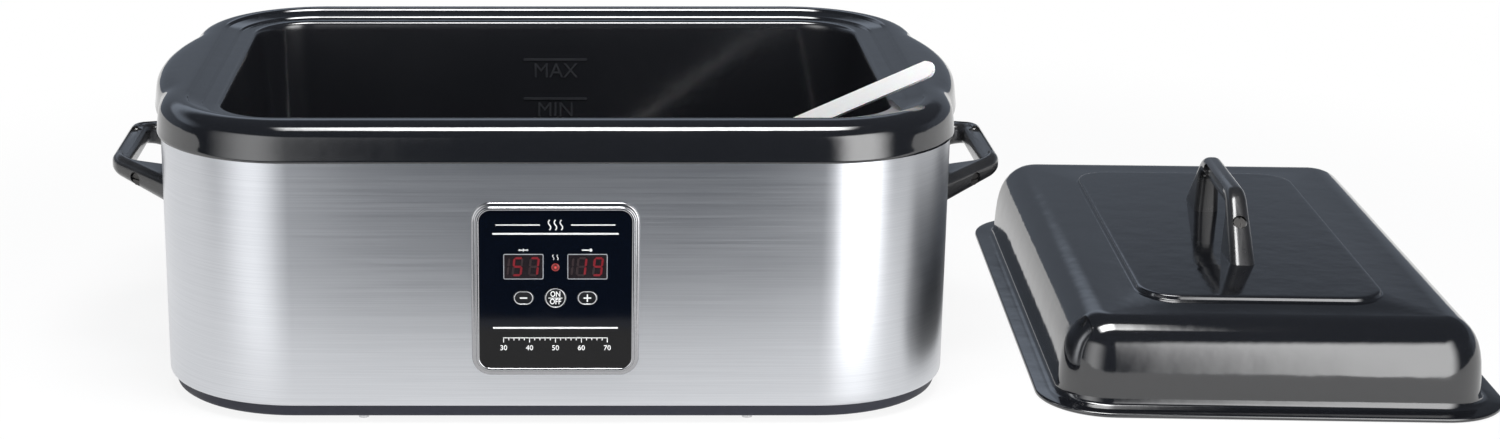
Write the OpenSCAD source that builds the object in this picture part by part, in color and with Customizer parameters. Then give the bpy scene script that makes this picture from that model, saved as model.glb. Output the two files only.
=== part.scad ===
// Table-top hot stone heater: a steel body with an electrically heated well, a lift-out
// enamelled pan, a lid lying beside the body and a spoon in the pan.
// Millimetres, +Z up, front towards -Y. The origin lies on the table under the body's centre.

/* [Pan] */
// Length of the pan's opening
open_l = 422; // [400:1:450]
// Width of the pan's opening
open_w = 280; // [260:1:300]
// Corner radius of the opening
open_r = 38; // [34:1:48]
// Height of the pan's ledge above the table
ledge_z = 187; // [184:1:195]
// Inside depth of the pan below its ledge
pan_depth = 156; // [148:1:159]
// Thickness of the enamelled pan
pan_t = 1.5; // [1:0.1:2]
// Draft of the pan's walls in degrees
pan_draft = 4; // [2:0.5:5]
// Radius between the pan's walls and floor
floor_r = 16; // [10:1:18]
// Width of the flat ledge that carries the lid
ledge_w = 12; // [11:0.5:16]
// Height of the ridge round the ledge
ridge_h = 1.5; // [1:0.25:3]
// Height of the rim's crown above the ledge
crown_h = 6; // [5:0.5:7]
// Radius of the rolled edge
roll_r = 12; // [9:0.5:14]
// Drop of the rim's skirt below the ledge
skirt_drop = 19; // [17:1:24]
// Reach of a grip lobe beyond the rim
lobe_out = 12.5; // [9:0.5:14]
// Half length of a grip lobe
lobe_half = 78; // [66:1:84]

/* [Body] */
// Distance from the opening's edge to the outside of the steel wall
body_reach = 40; // [38:1:46]
// Corner radius of the steel wall
body_r = 88; // [82:1:94]
// Thickness of the steel wall
shell_t = 1; // [0.6:0.1:1.4]
// Width of the hem turned in at the wall's foot
hem_w = 12; // [11:0.5:14]
// Gap between the steel wall and the rim's skirt
rim_gap = 0.9; // [0.7:0.1:3]
// Height of the plastic base
base_h = 8; // [7:0.5:9]
// Step of the base behind the steel wall
base_inset = 4; // [2:0.5:5]
// Wall of the plastic base
base_t = 2.5; // [2:0.25:3]
// Height of a rubber foot
foot_h = 3; // [2.5:0.25:4]
// Diameter of a rubber foot
foot_d = 28; // [20:1:34]
// Distance of a foot from the middle, along the body
foot_x = 170; // [160:1:180]
// Distance of a foot from the middle, across the body
foot_y = 112; // [106:1:120]

/* [Well] */
// Gap between the opening's edge and the well's wall
well_gap = 5; // [4:0.5:7]
// Thickness of the well's sheet
well_t = 1.2; // [0.8:0.1:1.6]
// Air gap under the pan
under_pan = 9.5; // [8.5:0.25:11]
// Width of the heater band
band_h = 36; // [25:1:45]
// Height of the heater band above the table
band_z = 40; // [34:1:48]
// Thickness of the heater band
band_t = 2; // [1.5:0.25:3]
// Thickness of the fibre blanket
blanket_t = 13; // [10:0.5:14]
// Distance of a support post from the middle, along the body
post_x = 140; // [120:1:150]
// Distance of a support post from the middle, across the body
post_y = 80; // [60:1:90]

/* [Control panel] */
// Width of the black panel face
lens_w = 94; // [90:1:98]
// Height of the black panel face
lens_h = 102; // [98:1:108]
// Width of the bright frame round the panel face
bezel_w = 4.6; // [4.4:0.1:5.4]
// Height of the panel's centre above the table
panel_z = 88; // [84:1:94]
// Thickness of the panel face
lens_t = 2; // [1.5:0.25:3]
// Distance between the button centres
button_step = 19.6; // [18:0.2:21]
// Width of an oval button
oval_w = 12.8; // [11:0.2:14]
// Height of an oval button
oval_h = 9.6; // [8:0.2:10]
// Diameter of the round button
power_d = 13.6; // [12:0.2:15]
// Travel of a button
button_travel = 0.8; // [0.5:0.1:1]
// Depth of the control housing behind the steel wall
housing_d = 25; // [24:0.5:26]

/* [Handles] */
// Length over a handle's feet
handle_span = 168; // [160:1:176]
// Length of a handle's bar over its corners
bar_l = 90; // [84:1:96]
// Rise of a handle above its feet
handle_rise = 42; // [40:0.5:48]
// Thickness of a handle's strap
strap_t = 12; // [11:0.5:13]
// Width of a handle's strap at its feet
foot_w = 17; // [16:0.5:20]
// Width of a handle's strap along its bar
bar_w = 13.5; // [13:0.5:15]
// Height of the side handles' screws above the table
handle_z = 125; // [112:1:132]
// Height of a side handle's bar above its screws
bar_up = 5.5; // [3:0.5:6]
// Drop of a side handle's feet below its screws
foot_down = 2.5; // [2:0.5:4]
// Thickness of a bracket
bracket_t = 2; // [1.5:0.25:2.5]
// Length of a bracket's ear inside the leg
ear_l = 36; // [30:1:38]

/* [Lid] */
// Gap between the lid's wall and the pan's opening
lid_gap = 6; // [5:0.5:7]
// Height of the lid without its raised panel
lid_h = 56.5; // [50:0.5:65]
// Thickness of the lid
lid_t = 1.2; // [0.8:0.1:1.6]
// Height of the lid's turned-down lip
lip_h = 3; // [2.5:0.25:5]
// Draft of the lid's walls in degrees
lid_draft = 3; // [1:0.5:5]
// Radius of the lid's shoulder
shoulder_r = 20; // [14:1:24]
// Width of the lid's raised panel
crest_w = 158; // [140:1:176]
// Length of the lid's raised panel
crest_l = 304; // [280:1:320]
// Height of the lid's raised panel
crest_h = 3; // [2.5:0.1:4]
// Place of the lid beside the body, along the body
lid_x = 464; // [460:1:500]
// Place of the lid beside the body, across the body
lid_y = 43; // [-60:1:100]
// Turn of the lid on the table in degrees
lid_turn = -2.5; // [-5:0.1:5]

/* [Spoon] */
// Length of the spoon
spoon_l = 352; // [340:1:370]
// Width of the spoon's handle
spoon_w = 10.5; // [9:0.5:14]
// Thickness of the spoon
spoon_t = 3.5; // [3:0.25:5]
// Width of the spoon's head
spoon_head_w = 50; // [40:1:52]
// Length of the spoon's head
spoon_head_l = 78; // [64:1:84]
// Place where the spoon crosses the opening's edge
spoon_y = -88; // [-94:1:-70]

/* [Hidden] */
$fn = 72;

// Clearance between neighbouring pieces
fit_gap = 0.3;
// Overshoot of a cutter beyond the face that it opens
cut = 1;
// Segments in a rounded corner of a section
arc_steps = 6;

// Heights of the stack, from the table up
base_floor_z = foot_h + base_t;
shell_z0 = foot_h + base_h;
seat_z = ledge_z - pan_t;
shell_z1 = seat_z - well_t;
crown_z = ledge_z + crown_h;
pan_floor_z = ledge_z - pan_depth;
well_floor_z = pan_floor_z - pan_t - under_pan;
well_under_z = well_floor_z - well_t;
skirt_z = ledge_z - skirt_drop;

// Distances outside the opening's edge
rim_reach = body_reach + rim_gap + pan_t;
well_reach = well_gap + well_t;
band_reach = well_reach + fit_gap + band_t;
blanket_reach = band_reach + fit_gap + blanket_t;

// Outside faces of the steel wall
side_x = open_l / 2 + body_reach;
front_y = -(open_w / 2 + body_reach);
inside_y = front_y + shell_t;

// The rim's top rises from the ridge to a flat crown before the rolled edge
crown_flat = 2;
ridge_half_slope = 22.5;
rim_back = 50;

// The rolled edge stays clear of the steel wall's top edge, and the well's flange ends inside it
roll_h = crown_h + pan_t + well_t;
roll_room = rim_gap + pan_t - fit_gap;
roll_mid = roll_h + roll_room - pan_t;
roll_most = roll_mid + sqrt(pow(roll_mid, 2) - pow(roll_h, 2) - pow(roll_room, 2) + pow(pan_t, 2));
roll = min(roll_r, roll_most);
roll_over_seat = sqrt(pow(roll - pan_t, 2) - pow(roll - crown_h - pan_t, 2));
flange_inset = roll - rim_gap - pan_t - roll_over_seat + 2 * fit_gap;

// Grip lobes: arcs that cut the rim's outside line at lobe_half
lobe_r = (lobe_half * lobe_half + lobe_out * lobe_out) / (2 * lobe_out);
lobe_cx = open_l / 2 + rim_reach + lobe_out - lobe_r;
lobe_ease = 1;
lobe_roll = roll - lobe_ease;
lobe_flat = lobe_out + roll;
lobe_tail = 2;
lobe_sweep = asin(lobe_half / lobe_r) + lobe_tail;

// Back sheet: it fills the flat of the back wall and laps behind the wall at both ends
back_seam = 13;
back_half = side_x - body_r - back_seam;
back_lap = 9;

// Raised pad under the middle of the base
base_pad = [220, 110, 1];
base_pad_r = 12;

// Screws through the base
screw_d = 3;
screw_hole_d = screw_d + 0.4;
base_head_d = 6.5;
base_head_h = 1.6;
boss_d = 8.6;
hem_screw_reach = body_reach - 9;
hem_screw_x = 120;
hem_screw_y = 60;
screw_tail = 2;
stem_d = 8;
stem_rise = 2;

// Support posts and the shield that they carry
shield_z = base_floor_z + 3.5;
shield_t = 1;
shield_reach = well_gap + 8;
post_foot_d = 16;
post_d = 10;

// Band terminals and lead
band_split = 28;
terminal_w = 24;
terminal_h = 20;
lead_d = 5;
lead_reach = blanket_reach + fit_gap + lead_d / 2 + 1;
lead_z = band_z + band_h / 2;
terminal_d = lead_reach + lead_d - well_reach;
blanket_z0 = band_z - 8;
blanket_z1 = 150;
blanket_window = 6;

// Sensors under the well
cutout_x = 60;
cutout_y = 40;
cutout_d = 16;
cutout_h = 5;
cutout_strap = [26, 10, 1];
probe_x = -60;
probe_y = 30;
probe_d = 4;
probe_l = 30;
clip_size = [10, 12];
clip_wall = 1;

// Control panel stack, measured from the steel wall's outside
lens_r = 7.5;
bezel_lip = 1;
bezel_proud = 1;
bezel_out_w = lens_w + 2 * bezel_w;
bezel_out_h = lens_h + 2 * bezel_w;
bezel_r = lens_r + bezel_w;
bezel_d = lens_t + bezel_proud;
lens_fit = 0.2;
window_edge = 4;
window_w = lens_w - 2 * window_edge;
window_h = lens_h - 2 * window_edge;
peg_d = 3;
peg_x = lens_w / 2 + bezel_w / 2 - 0.2;
peg_z = 40;
housing_t = 1.8;
housing_flange_t = 1.6;
housing_w = lens_w - 3;
housing_h = lens_h + 2;
board_t = 1.6;
board_w = housing_w - 2 * housing_t - 2;
board_h = housing_h - 2 * housing_t - 2;
board_y = front_y + 7.3;
board_back_y = board_y + board_t;
standoff_d = 5;
standoff_in = 5;
housing_back_y = inside_y + housing_d;
housing_screw_d = 1.8;
housing_head_d = 4.4;
housing_head_h = 1.8;
display_w = 24.6;
display_h = 16.3;
display_x = 19.6;
display_z = panel_z + 15;
lamp_d = 5;
lamp_z = panel_z + 14.6;
button_z = panel_z - 5;
button_fit = 0.25;
button_proud = 0.6;
button_skirt = 1;
button_stem_d = 4;
button_stem = 0.4;
tact_size = 6;
tact_h = 3.5;
plunger_d = 3.5;
button_back_y = front_y + fit_gap + button_skirt + button_stem;
plunger_y = button_back_y + button_travel + fit_gap;
relay_size = [19, 15, 13];
transformer_size = [32, 13, 26];
transformer_core_t = 9;
relay_x = -22;
relay_z = 15;
transformer_x = 14;
transformer_z = -18;

// Handles: straps with a slanted leg at each end and a straight-ended opening
leg_run = (handle_span - bar_l) / 2;
leg_a = atan2(handle_rise, leg_run);
leg_y = handle_span / 2 - strap_t / (2 * sin(leg_a));
handle_outer_r = 18;
handle_inner_r = 6;
handle_open = bar_l - 2;
recess_l = bar_l - 24;
recess_w = 8;
recess_d = 2.5;
ear_w = 7.5;
leg_screw_d = 4;
leg_screw_s = ear_l - 9;
leg_screw_in = 3;
leg_head_d = 8;
leg_head_h = 2.2;
leg_slot = [1.2, 1];
counterbore_d = 9.6;
counterbore_h = 3.4;
bracket_end = 9;

// Lid outline, worked out from the opening that it closes
lid_w = open_w - 2 * lid_gap;
lid_l = open_l - 2 * lid_gap;
lid_r = open_r - lid_gap;
lid_edge = 4;
flange_w = ledge_w + lid_gap - lid_edge;
crest_r = 25;
top_lap = 3;
crest_z = lid_h + crest_h;

// Gland for the mains lead
gland_in = 40;
gland_x = back_half - gland_in;
gland_z = 44;
gland_bore_d = 7.2;
gland_barrel_d = 12;
gland_flange_d = 20;
gland_flange_h = 4;
gland_nose_d = 14;
gland_nose_h = 8;
gland_nut_h = 5;

// Spoon pose: it leans on the opening's right edge and stands on the edge of its head
spoon_lean = 28.3;
spoon_heading = 145.4;
spoon_roll = -72;
spoon_side = [-sin(spoon_heading), cos(spoon_heading), 0];
spoon_up = [sin(spoon_lean) * cos(spoon_heading), sin(spoon_lean) * sin(spoon_heading), cos(spoon_lean)];
spoon_wide = spoon_side * cos(spoon_roll) + spoon_up * sin(spoon_roll);
spoon_thin = spoon_up * cos(spoon_roll) - spoon_side * sin(spoon_roll);
edge_normal = unit([-sin(spoon_lean), 0, -cos(spoon_lean) * cos(spoon_heading)]);
spoon_half = abs(spoon_wide * edge_normal) * spoon_w / 2 + abs(spoon_thin * edge_normal) * spoon_t / 2;
spoon_seat = (spoon_half + fit_gap) / edge_normal[2];
head_straight = (spoon_head_l - spoon_head_w) / 2 * sin(spoon_lean);
head_round = spoon_head_w / 2 * norm([sin(spoon_lean), spoon_wide[2]]);
head_reach = head_straight + head_round + abs(spoon_thin[2]) * spoon_t / 2;
head_down = (pan_depth + spoon_seat - head_reach - fit_gap) / sin(spoon_lean);
spoon_out = spoon_l - spoon_head_l / 2 - head_down;
slot_w = 5;
slot_step = 11;

// Points along an arc about c
function arc_points(c, r, a0, a1) =
    [for (i = [0:arc_steps]) let (a = a0 + (a1 - a0) * i / arc_steps) c + r * [cos(a), sin(a)]];

function unit(v) = v / norm(v);

function short_turn(a) = a > 180 ? a - 360 : a < -180 ? a + 360 : a;

// Arc that rounds the corner p between its neighbours a and b
function rounded_corner(a, p, b, r) =
    let (u = unit(a - p), v = unit(b - p), half = acos(u * v) / 2)
    let (c = p + unit(u + v) * r / sin(half))
    let (s = p + u * r / tan(half) - c, e = p + v * r / tan(half) - c)
    let (a0 = atan2(s[1], s[0]))
    arc_points(c, r, a0, a0 + short_turn(atan2(e[1], e[0]) - a0));

module rounded_rect(l, w, r) {
    square([l - 2 * r, w], center = true);
    square([l, w - 2 * r], center = true);
    for (sx = [-1, 1], sy = [-1, 1])
        translate([sx * (l / 2 - r), sy * (w / 2 - r)]) circle(r = r);
}

module stadium(l, w) {
    square([l - w, w], center = true);
    for (s = [-1, 1]) translate([s * (l - w) / 2, 0]) circle(d = w);
}

// Outline that lies a given distance outside the opening
module ring_outline(reach) {
    rounded_rect(open_l + 2 * reach, open_w + 2 * reach, open_r + reach);
}

// Outline that lies a given distance inside the steel wall's outside
module body_outline(inset) {
    rounded_rect(2 * (side_x - inset), -2 * (front_y + inset), body_r - inset);
}

module body_wall(outer, inner, z0, z1) {
    translate([0, 0, z0])
        linear_extrude(z1 - z0)
            difference() {
                body_outline(outer);
                body_outline(inner);
            }
}

module ring_plate(reach, z0, z1) {
    translate([0, 0, z0]) linear_extrude(z1 - z0) ring_outline(reach);
}

module ring_wall(inner, outer, z0, z1) {
    translate([0, 0, z0])
        linear_extrude(z1 - z0)
            difference() {
                ring_outline(outer);
                ring_outline(inner);
            }
}

module straight_run(length) {
    translate([0, length / 2, 0]) rotate([90, 0, 0]) linear_extrude(length) children();
}

// Section carried round a rounded rectangle; x runs outwards from the path
module carry_round(l, w, r) {
    for (turn = [0, 180]) rotate([0, 0, turn]) {
        translate([l / 2, 0, 0]) straight_run(w - 2 * r) children();
        rotate([0, 0, 90]) translate([w / 2, 0, 0]) straight_run(l - 2 * r) children();
        translate([l / 2 - r, w / 2 - r, 0])
            rotate_extrude(angle = 90) translate([r, 0]) children();
        translate([r - l / 2, w / 2 - r, 0])
            rotate([0, 0, 90]) rotate_extrude(angle = 90) translate([r, 0]) children();
    }
}

module four_corners(x, y) {
    for (sx = [-1, 1], sy = [-1, 1]) translate([sx * x, sy * y, 0]) children();
}

// Places on the hem where the base is screwed to the steel wall
module hem_points() {
    four_corners(hem_screw_x, open_w / 2 + hem_screw_reach) children();
    four_corners(open_l / 2 + hem_screw_reach, hem_screw_y) children();
}

module base_tray() color([0.17, 0.17, 0.19]) {
    difference() {
        union() {
            translate([0, 0, foot_h]) linear_extrude(base_t) body_outline(base_inset);
            body_wall(base_inset, base_inset + base_t, foot_h, shell_z0);
            hem_points() translate([0, 0, foot_h]) cylinder(d = boss_d, h = base_h);
            translate([0, 0, foot_h - base_pad[2]])
                linear_extrude(base_pad[2]) rounded_rect(base_pad[0], base_pad[1], base_pad_r);
        }
        hem_points() translate([0, 0, foot_h - cut]) cylinder(d = screw_hole_d, h = base_h + 2 * cut);
        four_corners(post_x, post_y)
            translate([0, 0, foot_h - cut]) cylinder(d = screw_hole_d, h = base_t + 2 * cut);
        four_corners(foot_x, foot_y)
            translate([0, 0, foot_h - cut]) cylinder(d = stem_d + 2 * fit_gap, h = base_t + 2 * cut);
    }
}

module rubber_feet() color([0.08, 0.08, 0.08])
    four_corners(foot_x, foot_y) {
        cylinder(d = foot_d, h = foot_h);
        cylinder(d = stem_d, h = base_floor_z + stem_rise);
    }

module base_screw(tip_z) {
    translate([0, 0, foot_h - base_head_h]) cylinder(d = base_head_d, h = base_head_h);
    translate([0, 0, foot_h - base_head_h]) cylinder(d = screw_d, h = tip_z - foot_h + base_head_h);
}

module base_screws() color("silver") {
    hem_points() base_screw(shell_z0 + shell_t + screw_tail);
    four_corners(post_x, post_y) base_screw(well_under_z - screw_tail);
}

module panel_prism(y0, y1) {
    translate([0, y1, panel_z]) rotate([90, 0, 0]) linear_extrude(y1 - y0) children();
}

module peg_points() {
    for (sx = [-1, 1], sz = [-1, 1]) translate([sx * peg_x, sz * peg_z]) children();
}

module outer_shell() color([0.75, 0.76, 0.78])
    difference() {
        union() {
            body_wall(0, shell_t, shell_z0, shell_z1);
            body_wall(0, hem_w, shell_z0, shell_z0 + shell_t);
        }
        panel_prism(front_y - cut, inside_y + cut) {
            rounded_rect(window_w, window_h, lens_r);
            peg_points() circle(d = peg_d + 2 * fit_gap);
        }
        at_right() ear_prisms(shell_t, fit_gap);
        at_left() ear_prisms(shell_t, fit_gap);
        translate([-back_half, -inside_y - cut, shell_z0 + shell_t])
            cube([2 * back_half, shell_t + 2 * cut, shell_z1 - shell_z0]);
        hem_points() translate([0, 0, shell_z0 - cut]) cylinder(d = screw_hole_d, h = shell_t + 2 * cut);
    }

module back_sheet() color([0.74, 0.75, 0.77]) {
    back_h = shell_z1 - shell_z0 - shell_t;
    difference() {
        translate([-back_half, -inside_y, shell_z0 + shell_t]) cube([2 * back_half, shell_t, back_h]);
        translate([gland_x, -front_y + cut, gland_z])
            rotate([90, 0, 0]) cylinder(d = gland_barrel_d + 2 * fit_gap, h = shell_t + 2 * cut);
    }
    for (side = [-1, 1])
        translate([side * back_half - back_lap, -inside_y - shell_t, shell_z0 + shell_t])
            cube([2 * back_lap, shell_t, back_h]);
}

module heating_well() color([0.72, 0.73, 0.74]) {
    ring_wall(well_gap, well_reach, well_under_z, seat_z);
    ring_plate(well_reach, well_under_z, well_floor_z);
    translate([0, 0, shell_z1])
        linear_extrude(well_t)
            difference() {
                body_outline(flange_inset);
                ring_outline(well_gap);
            }
}

module support_posts() color([0.6, 0.6, 0.62])
    four_corners(post_x, post_y)
        difference() {
            union() {
                translate([0, 0, base_floor_z])
                    cylinder(d = post_foot_d, h = shield_z - base_floor_z);
                translate([0, 0, base_floor_z]) cylinder(d = post_d, h = well_under_z - base_floor_z);
            }
            translate([0, 0, base_floor_z - cut])
                cylinder(d = screw_hole_d, h = well_under_z - base_floor_z + cut - shield_t);
        }

module heat_shield() color([0.8, 0.8, 0.8])
    difference() {
        ring_plate(shield_reach, shield_z, shield_z + shield_t);
        four_corners(post_x, post_y)
            translate([0, 0, shield_z - cut]) cylinder(d = post_d + 2 * fit_gap, h = shield_t + 2 * cut);
        four_corners(foot_x, foot_y)
            translate([0, 0, shield_z - cut]) cylinder(d = stem_d + 2 * stem_rise, h = shield_t + 2 * cut);
    }

module rear_slot(width, z0, z1) {
    translate([-width / 2, 0, z0]) cube([width, open_w / 2 + body_reach, z1 - z0]);
}

module band_heater() color([0.55, 0.5, 0.42])
    difference() {
        ring_wall(well_reach + fit_gap, band_reach, band_z, band_z + band_h);
        rear_slot(band_split, band_z - cut, band_z + band_h + cut);
    }

module insulation_wrap() color([0.9, 0.87, 0.75])
    difference() {
        ring_wall(band_reach + fit_gap, blanket_reach, blanket_z0, blanket_z1);
        rear_slot(band_split + 2 * blanket_window, blanket_z0 - cut, blanket_z1 + cut);
        translate([-bezel_out_w / 2 - blanket_window, front_y, blanket_z0 - cut])
            cube([bezel_out_w + 2 * blanket_window, -front_y, blanket_z1 - blanket_z0 + 2 * cut]);
    }

module element_terminals() color([0.93, 0.92, 0.88])
    translate([-terminal_w / 2, open_w / 2 + well_reach, lead_z - terminal_h / 2])
        cube([terminal_w, terminal_d, terminal_h]);

// The lead leaves the control housing, follows the left side and ends at the terminals
module element_lead() color([0.85, 0.82, 0.74]) {
    lead_x = open_l / 2 + lead_reach;
    lead_y = open_w / 2 + lead_reach;
    run_x = open_l / 2 - open_r;
    run_y = open_w / 2 - open_r;
    translate([0, 0, lead_z]) {
        translate([-run_x, -lead_y, 0]) rotate([0, 90, 0]) cylinder(d = lead_d, h = run_x - housing_w / 2);
        translate([-run_x, lead_y, 0]) rotate([0, 90, 0]) cylinder(d = lead_d, h = run_x - terminal_w / 2);
        translate([-lead_x, run_y, 0]) rotate([90, 0, 0]) cylinder(d = lead_d, h = 2 * run_y);
        translate([-run_x, run_y, 0]) rotate([0, 0, 90]) lead_bend();
        translate([-run_x, -run_y, 0]) rotate([0, 0, 180]) lead_bend();
    }
}

module lead_bend() {
    rotate_extrude(angle = 90) translate([open_r + lead_reach, 0]) circle(d = lead_d);
}

module thermal_cutout() color([0.2, 0.2, 0.2])
    translate([cutout_x, cutout_y, well_under_z]) {
        mirror([0, 0, 1]) cylinder(d = cutout_d, h = cutout_h);
        translate([-cutout_strap[0] / 2, -cutout_strap[1] / 2, -cutout_strap[2]]) cube(cutout_strap);
    }

module probe_rod(d, length) {
    translate([probe_x - length / 2, probe_y, well_under_z - fit_gap - probe_d / 2])
        rotate([0, 90, 0]) cylinder(d = d, h = length);
}

module temperature_probe() color("silver") probe_rod(probe_d, probe_l);

module probe_clip() color([0.7, 0.7, 0.7])
    difference() {
        clip_h = probe_d + 2 * fit_gap + clip_wall;
        translate([probe_x - clip_size[0] / 2, probe_y - clip_size[1] / 2, well_under_z - clip_h])
            cube([clip_size[0], clip_size[1], clip_h]);
        probe_rod(probe_d + 2 * fit_gap, clip_size[0] + 2 * cut);
        translate([probe_x - clip_size[0] / 2 - cut, probe_y - probe_d / 2 - fit_gap, well_under_z])
            translate([0, 0, -fit_gap - probe_d / 2])
                cube([clip_size[0] + 2 * cut, probe_d + 2 * fit_gap, probe_d]);
    }

module bezel() color([0.88, 0.88, 0.9])
    difference() {
        union() {
            panel_prism(front_y - bezel_d, front_y) rounded_rect(bezel_out_w, bezel_out_h, bezel_r);
            panel_prism(front_y - cut, inside_y + housing_flange_t) peg_points() circle(d = peg_d);
        }
        panel_prism(front_y - bezel_d + bezel_proud - lens_fit, front_y + cut)
            rounded_rect(lens_w + 2 * lens_fit, lens_h + 2 * lens_fit, lens_r + lens_fit);
        panel_prism(front_y - bezel_d - cut, front_y)
            rounded_rect(lens_w - 2 * bezel_lip, lens_h - 2 * bezel_lip, lens_r - bezel_lip);
        panel_prism(front_y, inside_y + housing_flange_t + cut)
            peg_points() circle(d = housing_screw_d + lens_fit);
    }

module button_points(names) {
    if (names[0]) translate([-button_step, button_z - panel_z]) children(0);
    if (names[1]) translate([0, button_z - panel_z]) children(1);
    if (names[2]) translate([button_step, button_z - panel_z]) children(0);
}

module panel_lens() color([0.02, 0.02, 0.035])
    panel_prism(front_y - lens_t, front_y)
        difference() {
            rounded_rect(lens_w, lens_h, lens_r);
            button_points([true, true, true]) {
                stadium(oval_w, oval_h);
                circle(d = power_d);
            }
        }

module push_button(which) {
    panel_prism(front_y - lens_t - button_proud, front_y + fit_gap)
        button_points(which) {
            stadium(oval_w - 2 * button_fit, oval_h - 2 * button_fit);
            circle(d = power_d - 2 * button_fit);
        }
    panel_prism(front_y + fit_gap, front_y + fit_gap + button_skirt)
        button_points(which) {
            stadium(oval_w + 2 * button_skirt, oval_h + 2 * button_skirt);
            circle(d = power_d + 2 * button_skirt);
        }
    panel_prism(front_y + fit_gap + button_skirt, button_back_y)
        button_points(which) {
            circle(d = button_stem_d);
            circle(d = button_stem_d);
        }
}

module minus_button() color([0.1, 0.1, 0.11]) push_button([true, false, false]);
module power_button() color([0.1, 0.1, 0.11]) push_button([false, true, false]);
module plus_button() color([0.1, 0.1, 0.11]) push_button([false, false, true]);

module control_housing() color([0.25, 0.25, 0.27])
    difference() {
        union() {
            panel_prism(inside_y, inside_y + housing_flange_t)
                difference() {
                    rounded_rect(bezel_out_w, bezel_out_h, bezel_r);
                    square([housing_w - 2 * housing_t, housing_h - 2 * housing_t], center = true);
                }
            panel_prism(inside_y, housing_back_y)
                difference() {
                    square([housing_w, housing_h], center = true);
                    square([housing_w - 2 * housing_t, housing_h - 2 * housing_t], center = true);
                }
            panel_prism(housing_back_y - housing_t, housing_back_y)
                square([housing_w, housing_h], center = true);
            panel_prism(board_back_y, housing_back_y)
                for (sx = [-1, 1], sz = [-1, 1])
                    translate([sx * (board_w / 2 - standoff_in), sz * (board_h / 2 - standoff_in)])
                        circle(d = standoff_d);
        }
        panel_prism(inside_y - cut, inside_y + housing_flange_t + cut)
            peg_points() circle(d = peg_d + lens_fit);
    }

module housing_screws() color("silver") {
    panel_prism(inside_y + housing_flange_t, inside_y + housing_flange_t + housing_head_h)
        peg_points() circle(d = housing_head_d);
    panel_prism(front_y + fit_gap, inside_y + housing_flange_t + housing_head_h)
        peg_points() circle(d = housing_screw_d);
}

module control_board() color([0.1, 0.35, 0.18])
    panel_prism(board_y, board_back_y) square([board_w, board_h], center = true);

module display_block(x) {
    translate([x - display_w / 2, front_y + fit_gap, display_z - display_h / 2])
        cube([display_w, board_y - front_y - fit_gap, display_h]);
}

module set_display() color([0.12, 0.05, 0.05]) display_block(-display_x);
module current_display() color([0.12, 0.05, 0.05]) display_block(display_x);

module heat_lamp() color([0.8, 0.05, 0.05])
    translate([0, board_y, lamp_z]) rotate([90, 0, 0]) {
        dome_h = board_y - front_y - fit_gap - lamp_d / 2;
        cylinder(d = lamp_d, h = dome_h);
        translate([0, 0, dome_h]) sphere(d = lamp_d);
    }

module tact_switches() color([0.1, 0.1, 0.1])
    for (i = [-1:1]) translate([i * button_step, board_y, button_z]) {
        translate([-tact_size / 2, -tact_h, -tact_size / 2]) cube([tact_size, tact_h, tact_size]);
        rotate([90, 0, 0]) cylinder(d = plunger_d, h = board_y - plunger_y);
    }

module power_relay() color([0.15, 0.3, 0.6])
    translate([relay_x, board_back_y, panel_z + relay_z])
        translate([-relay_size[0] / 2, 0, -relay_size[2] / 2]) cube(relay_size);

module transformer() color([0.75, 0.6, 0.2])
    translate([transformer_x, board_back_y, panel_z + transformer_z]) {
        translate([-transformer_size[0] / 2, 0, -transformer_core_t / 2])
            cube([transformer_size[0], transformer_size[1], transformer_core_t]);
        translate([-transformer_size[0] / 4, 0, -transformer_size[2] / 2])
            cube([transformer_size[0] / 2, transformer_size[1], transformer_size[2]]);
    }

module cord_gland() color([0.08, 0.08, 0.09])
    translate([gland_x, -front_y, gland_z]) rotate([-90, 0, 0])
        difference() {
            union() {
                cylinder(d = gland_flange_d, h = gland_flange_h);
                cylinder(d = gland_nose_d, h = gland_nose_h);
                translate([0, 0, -shell_t - gland_nut_h])
                    cylinder(d = gland_barrel_d, h = shell_t + gland_nut_h + cut);
                translate([0, 0, -shell_t - gland_nut_h])
                    cylinder(d = gland_flange_d, h = gland_nut_h, $fn = 6);
            }
            translate([0, 0, -shell_t - gland_nut_h - cut])
                cylinder(d = gland_bore_d, h = shell_t + gland_nut_h + gland_nose_h + 2 * cut);
        }

// Places of the three handles: x leads away from the wall, y follows the bar
module at_right() { translate([side_x, 0, handle_z]) children(); }
module at_left() { rotate([0, 0, 180]) at_right() children(); }
module at_lid() { on_table() translate([0, 0, crest_z]) rotate([0, -90, 0]) children(); }
module on_table() { translate([lid_x, lid_y, 0]) rotate([0, 0, lid_turn]) children(); }

function handle_outline() =
    let (a = [0, -handle_span / 2], b = [handle_rise, -bar_l / 2], c = [handle_rise, bar_l / 2])
    let (d = [0, handle_span / 2], e = [0, handle_open / 2])
    let (f = [handle_rise - strap_t, handle_open / 2])
    let (g = [f[0], -f[1]], h = [0, -e[1]])
    concat(
        [a], rounded_corner(a, b, c, handle_outer_r), rounded_corner(b, c, d, handle_outer_r), [d, e],
        rounded_corner(e, f, g, handle_inner_r), rounded_corner(f, g, h, handle_inner_r), [h]
    );

// Mirrored pair on the legs' centre lines; x runs up the leg, y out of its outer face
module on_legs() {
    for (side = [0, 1]) mirror([0, side, 0])
        translate([0, leg_y, 0]) rotate([0, 0, -atan2(leg_run, handle_rise)]) children();
}

// Ears of a bracket, which pass through the wall into the legs; with a gap, the room for them
module ear_prisms(wall_t, gap) {
    root = (wall_t + bracket_t - bracket_t / 2 * cos(leg_a)) / sin(leg_a) + (gap > 0 ? bracket_t : 0);
    on_legs()
        translate([-root, -bracket_t / 2 - gap, -ear_w / 2 - gap])
            cube([root + ear_l + gap, bracket_t + 2 * gap, ear_w + 2 * gap]);
}

module leg_screw_points() {
    on_legs() translate([leg_screw_s, 0, 0]) rotate([-90, 0, 0]) children();
}

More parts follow.
